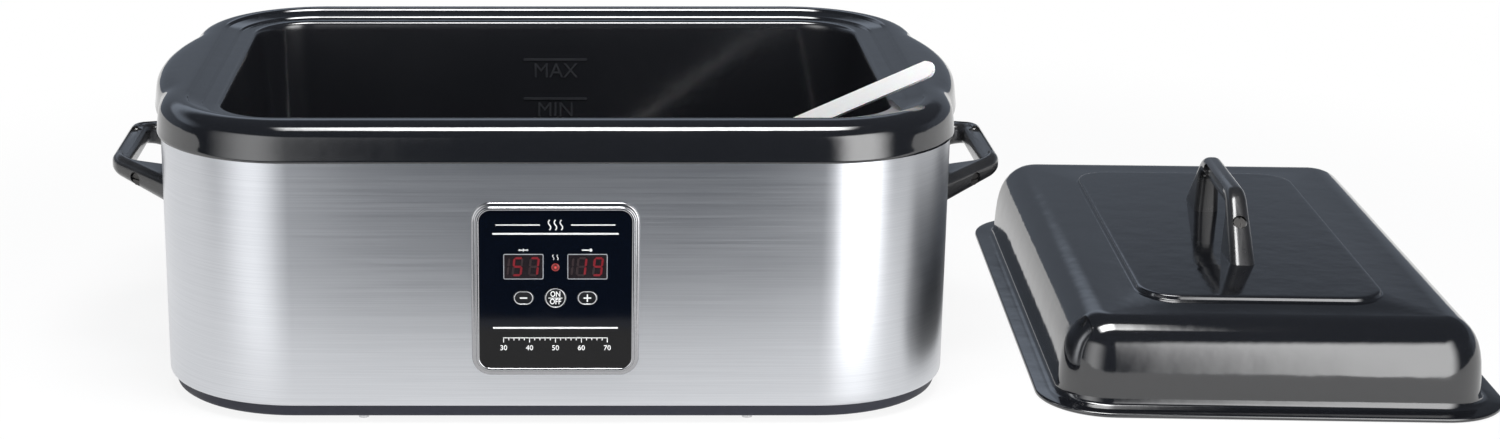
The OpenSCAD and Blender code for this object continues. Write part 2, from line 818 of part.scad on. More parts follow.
// Moulding whose feet lie foot_z and whose bar lies bar_z above the line through the screws
module handle_moulding(wall_t, foot_z, bar_z) {
    foot_half = foot_w / 2;
    bar_half = bar_w / 2;
    difference() {
        intersection() {
            linear_extrude(3 * foot_w, center = true) polygon(handle_outline());
            rotate([90, 0, 0]) linear_extrude(handle_span, center = true)
                polygon([
                    [0, foot_z - foot_half], [handle_rise, bar_z - bar_half],
                    [handle_rise, bar_z + bar_half], [0, foot_z + foot_half]
                ]);
        }
        ear_prisms(wall_t, fit_gap);
        leg_screw_points() {
            translate([0, 0, strap_t / 2 - counterbore_h]) cylinder(d = counterbore_d, h = strap_t);
            translate([0, 0, -leg_screw_in - fit_gap]) cylinder(d = leg_screw_d + 2 * fit_gap, h = strap_t);
        }
        translate([handle_rise - strap_t / 2, 0, bar_z + bar_half - recess_d])
            rotate([0, 0, 90]) linear_extrude(foot_w) stadium(recess_l, recess_w);
    }
}

module handle_bracket(wall_t) {
    plate_l = 2 * (leg_y + bracket_end);
    difference() {
        union() {
            translate([-wall_t - bracket_t, -plate_l / 2, -ear_w / 2]) cube([bracket_t, plate_l, ear_w]);
            ear_prisms(wall_t, 0);
        }
        leg_screw_points()
            translate([0, 0, -bracket_t]) cylinder(d = leg_screw_d + fit_gap, h = 2 * bracket_t);
    }
}

module handle_screws() {
    head_z = strap_t / 2 - counterbore_h;
    leg_screw_points()
        difference() {
            union() {
                translate([0, 0, head_z]) cylinder(d = leg_head_d, h = leg_head_h);
                translate([0, 0, -leg_screw_in]) cylinder(d = leg_screw_d, h = head_z + leg_screw_in + cut);
            }
            translate([-leg_head_d, -leg_slot[0] / 2, head_z + leg_head_h - leg_slot[1]])
                cube([2 * leg_head_d, leg_slot[0], leg_slot[1] + cut]);
        }
}

module left_handle() color([0.06, 0.06, 0.07]) at_left() handle_moulding(shell_t, -foot_down, bar_up);
module left_handle_bracket() color([0.6, 0.6, 0.62]) at_left() handle_bracket(shell_t);
module left_handle_screws() color("silver") at_left() handle_screws();
module right_handle() color([0.06, 0.06, 0.07]) at_right() handle_moulding(shell_t, -foot_down, bar_up);
module right_handle_bracket() color([0.6, 0.6, 0.62]) at_right() handle_bracket(shell_t);
module right_handle_screws() color("silver") at_right() handle_screws();
module lid_handle() color([0.06, 0.06, 0.07]) at_lid() handle_moulding(lid_t, 0, 0);
module lid_handle_bracket() color([0.6, 0.6, 0.62]) at_lid() handle_bracket(lid_t);
module lid_handle_screws() color("silver") at_lid() handle_screws();

// Ledge, ridge and rising top of the rim, or with g the skin that lies g below them
function rim_top_section(g, low) =
    let (in = g > 0 ? -cut : 0, shift = g * tan(ridge_half_slope))
    let (foot = [ledge_w + ridge_h, ledge_z + ridge_h], top = [rim_reach - roll - crown_flat, crown_z])
    let (far = foot + (top - foot) * (rim_reach + 2 * lobe_out) / (top[0] - foot[0]))
    [
        [in, low], [in, ledge_z - g], [ledge_w + shift, ledge_z - g], foot + [shift, -g],
        far - [0, g], [far[0], low]
    ];

// Crown and rolled edge, with radius r, of the rim or of a lobe; their outside lies at x = out
function roll_section(out, r, back, g, low) =
    concat(
        [[out - r - back, low], [out - r - back, crown_z - g]],
        arc_points([out - r, crown_z - r], r - g, 90, 0),
        [[out - g, low]]
    );

module rim_block(g, low) {
    intersection() {
        carry_round(open_l, open_w, open_r) polygon(rim_top_section(g, low));
        union() {
            carry_round(2 * side_x, -2 * front_y, body_r)
                polygon(roll_section(rim_gap + pan_t, roll, rim_back, g, low));
            for (turn = [0, 180]) rotate([0, 0, turn])
                translate([lobe_cx, 0, 0]) rotate([0, 0, -lobe_sweep])
                    rotate_extrude(angle = 2 * lobe_sweep)
                        polygon(roll_section(lobe_r, lobe_roll, lobe_flat, g, low));
        }
    }
}

module inner_pan() color([0.05, 0.05, 0.06]) {
    bend_z = pan_floor_z + floor_r;
    bend_u = -floor_r / cos(pan_draft) - (ledge_z - bend_z) * tan(pan_draft);
    bowl_section = concat(
        [[0, ledge_z]],
        arc_points([bend_u, bend_z], floor_r, -pan_draft, -90),
        arc_points([bend_u, bend_z], floor_r + pan_t, -90, -pan_draft),
        [[pan_t / cos(pan_draft), ledge_z]]
    );
    difference() {
        rim_block(0, skirt_z);
        rim_block(pan_t, skirt_z - cut);
    }
    carry_round(open_l, open_w, open_r) polygon(bowl_section);
    ring_plate(bend_u, pan_floor_z - pan_t, pan_floor_z);
}

module spoon() color([0.95, 0.95, 0.94])
    translate([open_l / 2, spoon_y, ledge_z + spoon_seat])
        rotate([0, 0, spoon_heading]) rotate([0, spoon_lean, 0]) rotate([spoon_roll, 0, 0])
            translate([-spoon_out, 0, -spoon_t / 2]) linear_extrude(spoon_t)
                difference() {
                    head_x = spoon_l - spoon_head_l / 2;
                    union() {
                        translate([head_x / 2, 0]) stadium(head_x, spoon_w);
                        translate([head_x, 0]) stadium(spoon_head_l, spoon_head_w);
                    }
                    for (i = [-1:1])
                        translate([head_x, i * slot_step]) stadium(spoon_head_l / 2, slot_w);
                }

module lid_shell() color([0.05, 0.05, 0.06])
    on_table() difference() {
        bend_z = lid_h - shoulder_r;
        bend_u = -shoulder_r / cos(lid_draft) - (bend_z - lip_h) * tan(lid_draft);
        wall_section = concat(
            [[flange_w, 0], [flange_w, lip_h], [0, lip_h]],
            arc_points([bend_u, bend_z], shoulder_r, lid_draft, 90),
            [[bend_u - top_lap, lid_h], [bend_u - top_lap, lid_h - lid_t]],
            arc_points([bend_u, bend_z], shoulder_r - lid_t, 90, lid_draft),
            [[-lid_t, lip_h - lid_t], [flange_w - lid_t, lip_h - lid_t], [flange_w - lid_t, 0]]
        );
        union() {
            carry_round(lid_w, lid_l, lid_r) polygon(wall_section);
            translate([0, 0, lid_h - lid_t]) linear_extrude(lid_t)
                rounded_rect(lid_w + 2 * bend_u, lid_l + 2 * bend_u, lid_r + bend_u);
            translate([0, 0, lid_h - lid_t]) linear_extrude(crest_h + lid_t)
                rounded_rect(crest_w, crest_l, crest_r);
        }
        translate([0, 0, lid_h - lid_t - cut]) linear_extrude(crest_h + cut)
            rounded_rect(crest_w - 2 * lid_t, crest_l - 2 * lid_t, crest_r - lid_t);
        translate([0, 0, crest_z]) rotate([0, -90, 0]) ear_prisms(lid_t, fit_gap);
    }

base_tray();
rubber_feet();
base_screws();
outer_shell();
back_sheet();
heating_well();
support_posts();
heat_shield();
band_heater();
insulation_wrap();
element_terminals();
element_lead();
thermal_cutout();
temperature_probe();
probe_clip();
bezel();
panel_lens();
control_housing();
housing_screws();
control_board();
set_display();
current_display();
heat_lamp();
tact_switches();
power_relay();
transformer();
minus_button();
power_button();
plus_button();
cord_gland();
left_handle();
left_handle_bracket();
left_handle_screws();
right_handle();
right_handle_bracket();
right_handle_screws();
inner_pan();
spoon();
lid_shell();
lid_handle();
lid_handle_bracket();
lid_handle_screws();
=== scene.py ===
import math

import bmesh
import bpy
from mathutils import Matrix, Vector


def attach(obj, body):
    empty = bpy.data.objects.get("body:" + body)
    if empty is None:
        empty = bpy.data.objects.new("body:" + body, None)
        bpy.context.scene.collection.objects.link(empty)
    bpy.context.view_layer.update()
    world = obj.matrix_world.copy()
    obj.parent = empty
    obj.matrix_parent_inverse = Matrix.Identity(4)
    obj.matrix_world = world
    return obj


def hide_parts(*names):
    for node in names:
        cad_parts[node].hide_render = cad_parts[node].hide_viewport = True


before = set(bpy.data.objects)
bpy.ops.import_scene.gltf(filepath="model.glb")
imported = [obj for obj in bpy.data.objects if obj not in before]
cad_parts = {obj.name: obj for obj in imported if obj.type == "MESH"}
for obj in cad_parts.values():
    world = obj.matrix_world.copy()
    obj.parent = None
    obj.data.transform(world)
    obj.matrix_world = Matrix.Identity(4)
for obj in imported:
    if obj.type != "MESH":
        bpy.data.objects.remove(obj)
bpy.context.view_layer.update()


# Camera. It stands in front of the heater, well above its rim, and looks down into the pan.
# The heater is left of the picture's middle, so the lens is shifted.
def put(name, data):
    """A new object in the scene, at the origin."""
    made = bpy.data.objects.new(name, data)
    bpy.context.scene.collection.objects.link(made)
    return made


lens = bpy.data.cameras.new("front_view")
lens.sensor_width = 36.0
lens.lens = 62.88
lens.shift_x = 0.1297
viewpoint = put("front_view", lens)
viewpoint.location = (0.0, -1.712, 0.5834)
viewpoint.rotation_euler = (math.radians(73.6), 0.0, 0.0)
bpy.context.scene.camera = viewpoint
bpy.context.scene.view_settings.view_transform = "Standard"


# Studio. A white table top in a dim, cool room with a pale backdrop low behind it. Two broad
# softboxes stand in front at the left and right, and a long one hangs overhead.
class Wire:
    """A socket in a node tree. Arithmetic on wires adds Math nodes."""

    def __init__(self, tree, socket=None):
        self.tree = tree
        self.socket = socket

    def feed(self, target, value):
        """Links a wire to a socket, or sets the socket's own value."""
        if isinstance(value, Wire):
            self.tree.links.new(value.socket, target)
        else:
            target.default_value = value

    def node(self, kind, settings=None, sockets=None, out=0):
        """Any node: its settings come first, then the values or links of its sockets."""
        made = self.tree.nodes.new("ShaderNode" + kind)
        for name, value in (settings or {}).items():
            setattr(made, name, value)
        for key, value in (sockets or {}).items():
            self.feed(made.inputs[key], value)
        return Wire(self.tree, made.outputs[out])

    def math(self, operation, first, second):
        return self.node("Math", {"operation": operation}, {0: first, 1: second})

    def __add__(self, other):
        return self.math("ADD", self, other)

    def __sub__(self, other):
        return self.math("SUBTRACT", self, other)

    def __rsub__(self, other):
        return self.math("SUBTRACT", other, self)

    def __mul__(self, other):
        return self.math("MULTIPLY", self, other)

    __radd__ = __add__
    __rmul__ = __mul__

    def smooth(self, low, high, to_low=0.0, to_high=1.0):
        """Goes from one value to another while the wire goes from low to high."""
        return self.node("MapRange", {"interpolation_type": "SMOOTHSTEP"}, {
            "Value": self, "From Min": low, "From Max": high, "To Min": to_low, "To Max": to_high})

    def within(self, fade):
        """1 in the middle of the range from 0 to 1; it fades to 0 at both ends."""
        return self.smooth(0.0, fade) * self.smooth(1.0 - fade, 1.0, 1.0, 0.0)

    def blend(self, one, other):
        """A colour that goes from one to the other while the wire goes from 0 to 1."""
        return self.node("Mix", {"data_type": "RGBA"},
                         {"Factor": self, "A": (*one, 1.0), "B": (*other, 1.0)}, "Result")

    def split(self):
        return [self.node("SeparateXYZ", sockets={"Vector": self}, out=axis) for axis in "XYZ"]

    def distance(self, other):
        """How far a point lies from the middle, if the two wires are its places along two axes."""
        point = self.node("CombineXYZ", sockets={"X": self, "Y": other})
        return self.node("VectorMath", {"operation": "LENGTH"}, {0: point}, "Value")

    def stretched(self, factors):
        return self.node("Mapping", sockets={"Vector": self, "Scale": factors})

    def noise(self, scale, detail):
        return self.node("TexNoise", sockets={"Vector": self, "Scale": scale, "Detail": detail})

    def bump(self, strength, distance):
        return self.node("Bump", sockets={"Strength": strength, "Distance": distance, "Height": self})


WHITE = (1.0, 1.0, 1.0)
BLACK = (0.0, 0.0, 0.0)

room = bpy.data.worlds.new("studio_room")
room.use_nodes = True
bpy.context.scene.world = room
wire = Wire(room.node_tree)
sideways, towards_back, upwards = wire.node("TexCoord", out="Generated").split()
camera_ray = wire.node("LightPath", out="Is Camera Ray")
behind_lid = sideways.smooth(0.14, 0.24)
low_wall = 0.19 * (1.0 - behind_lid * upwards.smooth(0.24, 0.36))
bright_band = 0.55 * (1.0 - behind_lid) * upwards.smooth(0.29, 0.38)
wall_top = upwards.smooth(0.42, 0.62, 1.0, 0.0)
room_light = 0.10
glow = room_light + towards_back.smooth(-0.10, 0.40) * (low_wall + bright_band) * wall_top
cool_white = (0.74, 0.84, 1.0)
surround = room.node_tree.nodes["Background"].inputs
wire.feed(surround["Color"], camera_ray.blend(cool_white, WHITE))
wire.feed(surround["Strength"], camera_ray + (1.0 - camera_ray) * glow)


def softbox(name, stands_at, aim, width, height, watts, side_fade):
    """A lamp behind cloth that fades towards its edges, by the given share of its width."""
    end_fade = 0.2
    lamp = bpy.data.lights.new(name, "AREA")
    lamp.shape = "RECTANGLE"
    lamp.size = width
    lamp.size_y = height
    lamp.energy = watts
    lamp.use_nodes = True
    wire = Wire(lamp.node_tree)
    across, up, _ = wire.node("NewGeometry", out="Parametric").split()
    cloth = across.within(side_fade) * up.within(end_fade)
    wire.feed(lamp.node_tree.nodes["Emission"].inputs["Color"], cloth.blend(BLACK, WHITE))
    stand = put(name, lamp)
    stand.location = stands_at
    stand.rotation_euler = (Vector(aim) - Vector(stands_at)).to_track_quat("-Z", "Y").to_euler()
    stand.visible_camera = False


softbox("box_left", (-0.855, -1.203, 0.30), (-0.015, -0.303, 0.10),
        width=2.05, height=1.50, watts=19.0, side_fade=0.50)
softbox("box_right", (0.885, -1.12, 0.30), (0.105, -0.23, 0.10),
        width=1.30, height=1.50, watts=28.0, side_fade=0.40)
softbox("overhead", (0.12, -0.38, 1.45), (0.10, -0.12, 0.0),
        width=1.20, height=0.60, watts=46.0, side_fade=0.35)


def new_finish(name):
    """A material with nodes, and a wire to add to them."""
    material = bpy.data.materials.new(name)
    material.use_nodes = True
    return material, Wire(material.node_tree)


table_half_x, table_half_y, table_front, table_z = 4.0, 2.3, -0.39, -0.0003
table_bm = bmesh.new()
bmesh.ops.create_grid(table_bm, x_segments=1, y_segments=1, size=1.0)
bmesh.ops.scale(table_bm, vec=(table_half_x, table_half_y, 1.0), verts=table_bm.verts)
bmesh.ops.translate(table_bm, vec=(0.0, table_front + table_half_y, table_z), verts=table_bm.verts)
table_mesh = bpy.data.meshes.new("table_top")
table_bm.to_mesh(table_mesh)
table_bm.free()
table_top = put("table_top", table_mesh)
table_white, wire = new_finish("table_white")
table_nodes = table_white.node_tree.nodes
table_nodes.remove(table_nodes["Principled BSDF"])
camera_ray, mirror_ray, clear_ray = (
    wire.node("LightPath", out="Is " + kind + " Ray") for kind in ("Camera", "Glossy", "Transmission"))
seen = (camera_ray + mirror_ray + clear_ray).smooth(0.0, 1.0)
along, back, _ = wire.node("TexCoord", out="Object").split()
group_middle = 0.15
from_middle = (along - group_middle).distance(back)
show_white = seen * (0.88 + 0.12 * from_middle.smooth(0.45, 0.95))
matte = wire.node("BsdfDiffuse", sockets={"Color": (0.86, 0.86, 0.86, 1.0)})
white = wire.node("Emission", sockets={"Color": (*WHITE, 1.0), "Strength": 1.0})
table_look = wire.node("MixShader", sockets={0: show_white, 1: matte, 2: white})
wire.feed(table_nodes["Material Output"].inputs["Surface"], table_look)
table_mesh.materials.append(table_white)


# Base. A shallow tray moulded in dark blue-grey plastic under the steel body, with a raised pad
# in the middle of its underside. It stands on four rubber feet and is held by steel screws.
MM = 0.001
CORNER = 20
SLOPE = 0.02


def rounded_loop(bm, half_x, half_y, radius, z, cuts=(6, 6)):
    """A flat loop round a rectangle with rounded corners; all sizes in millimetres."""
    before = set(bm.edges)
    if half_x == half_y and radius > half_x - 0.01:
        level = Matrix.Translation((0.0, 0.0, z * MM))
        bmesh.ops.create_circle(bm, segments=4 * CORNER, radius=half_x * MM, matrix=level)
        return [e for e in bm.edges if e not in before]
    sheet = bmesh.ops.create_grid(bm, x_segments=1, y_segments=1, size=1.0)["verts"]
    bmesh.ops.scale(bm, vec=(half_x * MM, half_y * MM, 1.0), verts=sheet)
    bmesh.ops.translate(bm, vec=(0.0, 0.0, z * MM), verts=sheet)
    bmesh.ops.bevel(bm, geom=sheet, offset=radius * MM, offset_type="OFFSET", segments=CORNER,
                    profile=0.5, affect="VERTICES", material=-1)
    ring = [e for e in bm.edges if e not in before]
    bmesh.ops.delete(bm, geom=list({f for e in ring for f in e.link_faces}), context="FACES_ONLY")
    for axis, count in ((0, cuts[1]), (1, cuts[0])):
        straight = [e for e in ring if abs(e.verts[0].co[axis] - e.verts[1].co[axis]) < 1e-7]
        if count and straight:
            bmesh.ops.subdivide_edges(bm, edges=straight, cuts=count)
    return [e for e in bm.edges if e not in before]


def rings(bm, half_x, half_y, radius, line, cuts=(6, 6)):
    """Loops along a section, each u outside the given outline at height z. A flat step gets a
    slope of a fiftieth of a millimetre, so that the bridge knows which loop lies above."""
    loops, last = [], None
    for u, z in line:
        if last is not None and abs(z - last) < SLOPE:
            z = last + SLOPE
        loops.append(rounded_loop(bm, half_x + u, half_y + u, radius + u, z, cuts))
        last = z
    return loops


def loft(bm, loops, closed=False):
    """Bridges each loop to the next, and the last to the first where the section is closed."""
    for one, other in zip(loops, loops[1:] + (loops[:1] if closed else [])):
        bmesh.ops.bridge_loops(bm, edges=one + other)


def cap(bm, loop, margin):
    """Closes a loop with a flat face that has a narrow border, so its shading stays flat."""
    face = bmesh.ops.edgeloop_fill(bm, edges=loop)["faces"]
    bmesh.ops.inset_region(bm, faces=face, thickness=margin * MM, use_even_offset=True)


def capped_loft(bm, loops, first_margin, last_margin):
    """Bridges the loops and closes both ends."""
    loft(bm, loops)
    cap(bm, loops[0], first_margin)
    cap(bm, loops[-1], last_margin)


def place(bm, name, finish, body, nodes=(), crease=32.0):
    """Turns a bmesh into a piece that rides on a body, with smooth faces and crisp creases."""
    bmesh.ops.remove_doubles(bm, verts=bm.verts, dist=1e-7)
    bmesh.ops.recalc_face_normals(bm, faces=bm.faces)
    limit = math.radians(crease)
    for face in bm.faces:
        face.smooth = True
    for edge in bm.edges:
        edge.smooth = len(edge.link_faces) == 2 and edge.calc_face_angle(0.0) < limit
    mesh = bpy.data.meshes.new(name)
    bm.to_mesh(mesh)
    bm.free()
    mesh.materials.append(finish)
    piece = put(name, mesh)
    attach(piece, body)
    if nodes:
        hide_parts(*nodes)
    return piece


def shade(material, sockets):
    """Sets or links sockets of a material's main shader."""
    shader = material.node_tree.nodes["Principled BSDF"]
    for name, value in sockets.items():
        Wire(material.node_tree).feed(shader.inputs[name], value)


def grained(name, colour, rough, metal=0.0, grain=900.0, relief=0.03, spread=0.15, stretch=(1, 1, 1)):
    """A moulded, cast or sheet finish: fine grain in the relief, soft clouds in colour and gloss."""
    material, wire = new_finish(name)
    spot = wire.node("TexCoord", out="Object").stretched(stretch)
    fine = spot.noise(grain, 3.0)
    clouds = spot.noise(grain / 25.0, 4.0)
    dark = [c * (1.0 - spread) for c in colour]
    pale = [min(1.0, c * (1.0 + spread)) for c in colour]
    shade(material, {
        "Base Color": (0.6 * clouds + 0.4 * fine).smooth(0.3, 0.7).blend(dark, pale),
        "Metallic": metal,
        "Roughness": clouds.smooth(0.2, 0.8, rough * 0.85, rough * 1.15),
        "Normal": fine.bump(relief, 0.0004)})
    return material


def refinish(finish, *nodes):
    """Gives CAD nodes that keep their own shape a better finish."""
    for node in nodes:
        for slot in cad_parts[node].material_slots:
            slot.link = "OBJECT"
            slot.material = finish


base_grey = grained("base_grey_plastic", (0.008, 0.0094, 0.021), 0.52, grain=1500.0, relief=0.10)
base_half_x, base_half_y, base_round = 247.0, 176.0, 84.0
pad_half_x, pad_half_y, pad_round = 110.0, 55.0, 12.0
base_bm = bmesh.new()
base_loops = rings(base_bm, base_half_x, base_half_y, base_round, (
    (-6.0, 5.5), (-2.6, 5.6), (-2.5, 6.4), (-2.5, 10.9), (-2.3, 10.98), (-0.3, 10.95), (0.0, 10.7),
    (0.0, 6.0), (-0.15, 4.8), (-0.6, 3.8), (-1.4, 3.2), (-2.4, 3.06), (-4.0, 3.03)))
base_loops += rings(base_bm, pad_half_x, pad_half_y, pad_round, (
    (1.4, 3.0), (0.5, 2.9), (0.1, 2.4), (-0.2, 2.1), (-0.8, 2.0)))
capped_loft(base_bm, base_loops, first_margin=3.0, last_margin=2.0)
place(base_bm, "base", base_grey, "heater", ["base_tray"])
foot_rubber = grained("foot_rubber", (0.022, 0.022, 0.023), 0.80, grain=2200.0, relief=0.18)
refinish(foot_rubber, "rubber_feet")
zinc = grained("zinc_steel", (0.55, 0.55, 0.56), 0.34, metal=1.0, grain=2500.0, relief=0.05)
refinish(zinc, "base_screws")


# Body. A wrapper of stainless sheet, brushed along its length, with a rounded foot edge and a
# hem turned in over the base. A flat back sheet closes it, riveted through two lap strips.
steel, wire = new_finish("brushed_steel")
spot = wire.node("TexCoord", out="Object")
fine_lines = spot.stretched((14.0, 14.0, 4200.0)).noise(1.0, 5.0)
broad_lines = spot.stretched((5.0, 5.0, 900.0)).noise(1.0, 3.0)
clouds = spot.noise(9.0, 3.0)
lines = 0.7 * fine_lines + 0.3 * broad_lines
shade(steel, {
    "Base Color": lines.smooth(0.3, 0.7).blend((0.585, 0.598, 0.625), (0.675, 0.688, 0.715)),
    "Metallic": 1.0,
    "Roughness": (0.75 * lines + 0.25 * clouds).smooth(0.3, 0.7, 0.28, 0.35),
    "Anisotropic": 0.55,
    "Anisotropic Rotation": 0.25,
    "Normal": lines.bump(0.035, 0.0003)})


def carve(bm, tools):
    """Cuts closed meshes out of another one, and returns the result."""
    made = []
    for part in [bm] + tools:
        mesh = bpy.data.meshes.new("blank")
        bmesh.ops.recalc_face_normals(part, faces=part.faces)
        part.to_mesh(mesh)
        part.free()
        made.append(put("blank", mesh))
    for tool in made[1:]:
        step = made[0].modifiers.new("carve", "BOOLEAN")
        step.operation = "DIFFERENCE"
        step.solver = "EXACT"
        step.object = tool
    carved = made[0].evaluated_get(bpy.context.evaluated_depsgraph_get()).to_mesh()
    result = bmesh.new()
    result.from_mesh(carved)
    for blank in made:
        mesh = blank.data
        bpy.data.objects.remove(blank)
        bpy.data.meshes.remove(mesh)
    return result


def add_to(bm, other):
    """Moves the mesh of one bmesh into another."""
    mesh = bpy.data.meshes.new("join")
    other.to_mesh(mesh)
    other.free()
    bm.from_mesh(mesh)
    bpy.data.meshes.remove(mesh)


def block(low, high, edge=0.0):
    """A box between two corners, in millimetres, with its edges rounded."""
    bm = bmesh.new()
    bmesh.ops.create_cube(bm, size=1.0)
    bmesh.ops.scale(bm, vec=[(b - a) * MM for a, b in zip(low, high)], verts=bm.verts)
    bmesh.ops.translate(bm, vec=[(a + b) / 2 * MM for a, b in zip(low, high)], verts=bm.verts)
    if edge:
        bmesh.ops.bevel(bm, geom=bm.edges[:], offset=edge * MM, offset_type="OFFSET", segments=3,
                        profile=0.5, affect="EDGES", material=-1)
    return bm


shell_half_x, shell_half_y, shell_round, sheet = 251.0, 180.0, 88.0, 1.0
back_half, back_low, back_top, seam_gap, past_wall = 150.0, 13.7, 184.3, 0.3, 10.0
shell_bm = bmesh.new()
shell_loops = rings(shell_bm, shell_half_x, shell_half_y, shell_round, (
    (-12.0, 12.0), (-12.0, 11.0), (-2.2, 11.03), (-1.2, 11.15), (-0.45, 11.6), (-0.1, 12.3), (0.0, 13.2),
    (0.0, 20.0), (0.0, 100.0), (0.0, 180.0), (0.0, 184.0), (-0.3, 184.25), (-0.8, 184.28), (-1.0, 184.0),
    (-1.0, 13.0), (-1.6, 12.05)))
loft(shell_bm, shell_loops, closed=True)
back_opening = block((-back_half - seam_gap, shell_half_y - past_wall, back_low - seam_gap),
                     (back_half + seam_gap, shell_half_y + past_wall, back_top + past_wall))
shell_bm = carve(shell_bm, [back_opening])
place(shell_bm, "steel_wrapper", steel, "heater", ["outer_shell"])

lap_half, rivet_x, rivet_step, rivet_rows, rivet_radius, rivet_flat = 9.0, 145.0, 28.0, 6, 2.6, 0.5
back_bm = block((-back_half, shell_half_y - sheet, back_low), (back_half, shell_half_y, back_top), edge=0.3)
for side in (-1, 1):
    seam = side * back_half
    add_to(back_bm, block((seam - lap_half, shell_half_y - 2 * sheet, back_low),
                          (seam + lap_half, shell_half_y - sheet, back_top)))
    for row in range(rivet_rows):
        rivet = bmesh.ops.create_uvsphere(
            back_bm, u_segments=16, v_segments=8, radius=rivet_radius * MM)["verts"]
        bmesh.ops.scale(back_bm, vec=(1.0, rivet_flat, 1.0), verts=rivet)
        rivet_at = (side * rivet_x * MM, shell_half_y * MM, rivet_step * (row + 1) * MM)
        bmesh.ops.translate(back_bm, vec=rivet_at, verts=rivet)
place(back_bm, "steel_back", steel, "heater", ["back_sheet"])


# Heating well and what lies between it and the body: a drawn sheet well with its band heater,
# fibre blanket, terminals and lead, sensors clipped under it, posts and a bright heat shield.
refinish(grained("aluminised_sheet", (0.48, 0.48, 0.49), 0.42, metal=1.0, grain=700.0, relief=0.06),
         "heating_well")
refinish(grained("bright_shield", (0.66, 0.66, 0.67), 0.25, metal=1.0, grain=400.0), "heat_shield")
refinish(grained("post_steel", (0.42, 0.42, 0.43), 0.45, metal=1.0, grain=1200.0),
         "support_posts", "probe_clip")
refinish(grained("heat_tinted_band", (0.36, 0.31, 0.24), 0.40, metal=1.0, grain=500.0, spread=0.3,
                 stretch=(1, 1, 6)), "band_heater")
refinish(grained("fibre_blanket", (0.62, 0.60, 0.54), 0.95, grain=700.0, relief=0.9, stretch=(1, 1, 3)),
         "insulation_wrap")
refinish(grained("terminal_ceramic", (0.70, 0.67, 0.60), 0.55, grain=1100.0, relief=0.1),
         "element_terminals")
refinish(grained("lead_sleeve", (0.50, 0.12, 0.07), 0.60, grain=2600.0, relief=0.35), "element_lead")
refinish(grained("sensor_steel", (0.58, 0.58, 0.60), 0.30, metal=1.0, grain=1600.0), "temperature_probe")
dark_plastic = grained("dark_plastic", (0.030, 0.030, 0.032), 0.46, grain=1700.0, relief=0.12)
refinish(dark_plastic, "thermal_cutout")


# Control box. A dark plastic housing inside the front wall, screwed to the panel's pegs. It
# holds a green board with the displays, switches, lamp, relay and transformer soldered to it.
refinish(dark_plastic, "control_housing", "tact_switches")
refinish(zinc, "housing_screws")
refinish(grained("green_board", (0.020, 0.115, 0.045), 0.38, grain=800.0, spread=0.3), "control_board")
refinish(grained("display_case", (0.055, 0.055, 0.058), 0.40, grain=1500.0),
         "set_display", "current_display")
refinish(grained("relay_case", (0.03, 0.10, 0.32), 0.35, grain=1500.0), "power_relay")
refinish(grained("wound_copper", (0.42, 0.24, 0.08), 0.45, metal=0.4, grain=900.0, stretch=(1, 1, 5)),
         "transformer")
refinish(grained("red_lamp_body", (0.36, 0.02, 0.02), 0.25, grain=1500.0), "heat_lamp")


# Control panel. A chromed frame, moulded and plated, holds a blue-black gloss window in front
# of the steel; its pegs go through the steel into the housing behind.
PANEL_Z = 88.0
upright = Matrix.Rotation(math.radians(90), 4, "X")
PANEL = Matrix.Translation((0.0, -shell_half_y * MM, PANEL_Z * MM)) @ upright
frame_half_x, frame_half_y, frame_round = 51.6, 55.6, 12.1
chrome = grained("plated_frame", (0.37, 0.37, 0.38), 0.18, metal=1.0, grain=350.0, relief=0.01, spread=0.05)
bezel_bm = bmesh.new()
bezel_loops = rings(bezel_bm, frame_half_x, frame_half_y, frame_round, [(-w, h) for w, h in (
    (0.0, 0.0), (0.0, 0.5), (0.15, 1.0), (0.5, 1.4), (1.0, 1.6), (1.7, 1.7), (2.3, 1.75), (2.6, 1.95),
    (2.75, 2.4), (2.95, 2.75), (3.3, 2.95), (3.7, 3.0), (4.2, 2.95), (4.6, 2.7), (4.85, 2.4), (4.9, 2.05),
    (4.5, 2.0), (4.5, 0.03))], (2, 2))
loft(bezel_bm, bezel_loops, closed=True)
bezel_bm.transform(PANEL)
place(bezel_bm, "panel_frame", chrome, "heater", ["bezel"], crease=50.0)

window, wire = new_finish("window_gloss")
spot = wire.node("TexCoord", out="Object")
_, _, height = spot.split()
upper_part = height.smooth(0.060, 0.066)
speckle = spot.noise(2400.0, 2.0)
smear = spot.noise(45.0, 5.0)
shade(window, {
    "Base Color": upper_part.blend((0.0035, 0.0035, 0.0040), (0.0012, 0.0024, 0.0060)),
    "Roughness": smear.smooth(0.3, 0.7, 0.05, 0.09),
    "Specular IOR Level": 0.25,
    "Normal": speckle.bump(0.02, 0.0002)})
refinish(window, "panel_lens")


# Marks on the window. Printed in white on its face: two rules, plain signs over the displays,
# and a scale of temperatures; thin plates of ink, a tenth of a millimetre thick.
FACE = 2.0
INK = 0.1
COLUMN = 19.6
white_ink = grained("white_ink", (0.82, 0.82, 0.81), 0.45, grain=1800.0, spread=0.05)


def extrude(bm, faces, height):
    """Extrudes faces upwards by a height in millimetres, and returns the new vertices."""
    made = bmesh.ops.extrude_face_region(bm, geom=faces)["geom"]
    top = [v for v in made if isinstance(v, bmesh.types.BMVert)]
    bmesh.ops.translate(bm, vec=(0.0, 0.0, height * MM), verts=top)
    return top


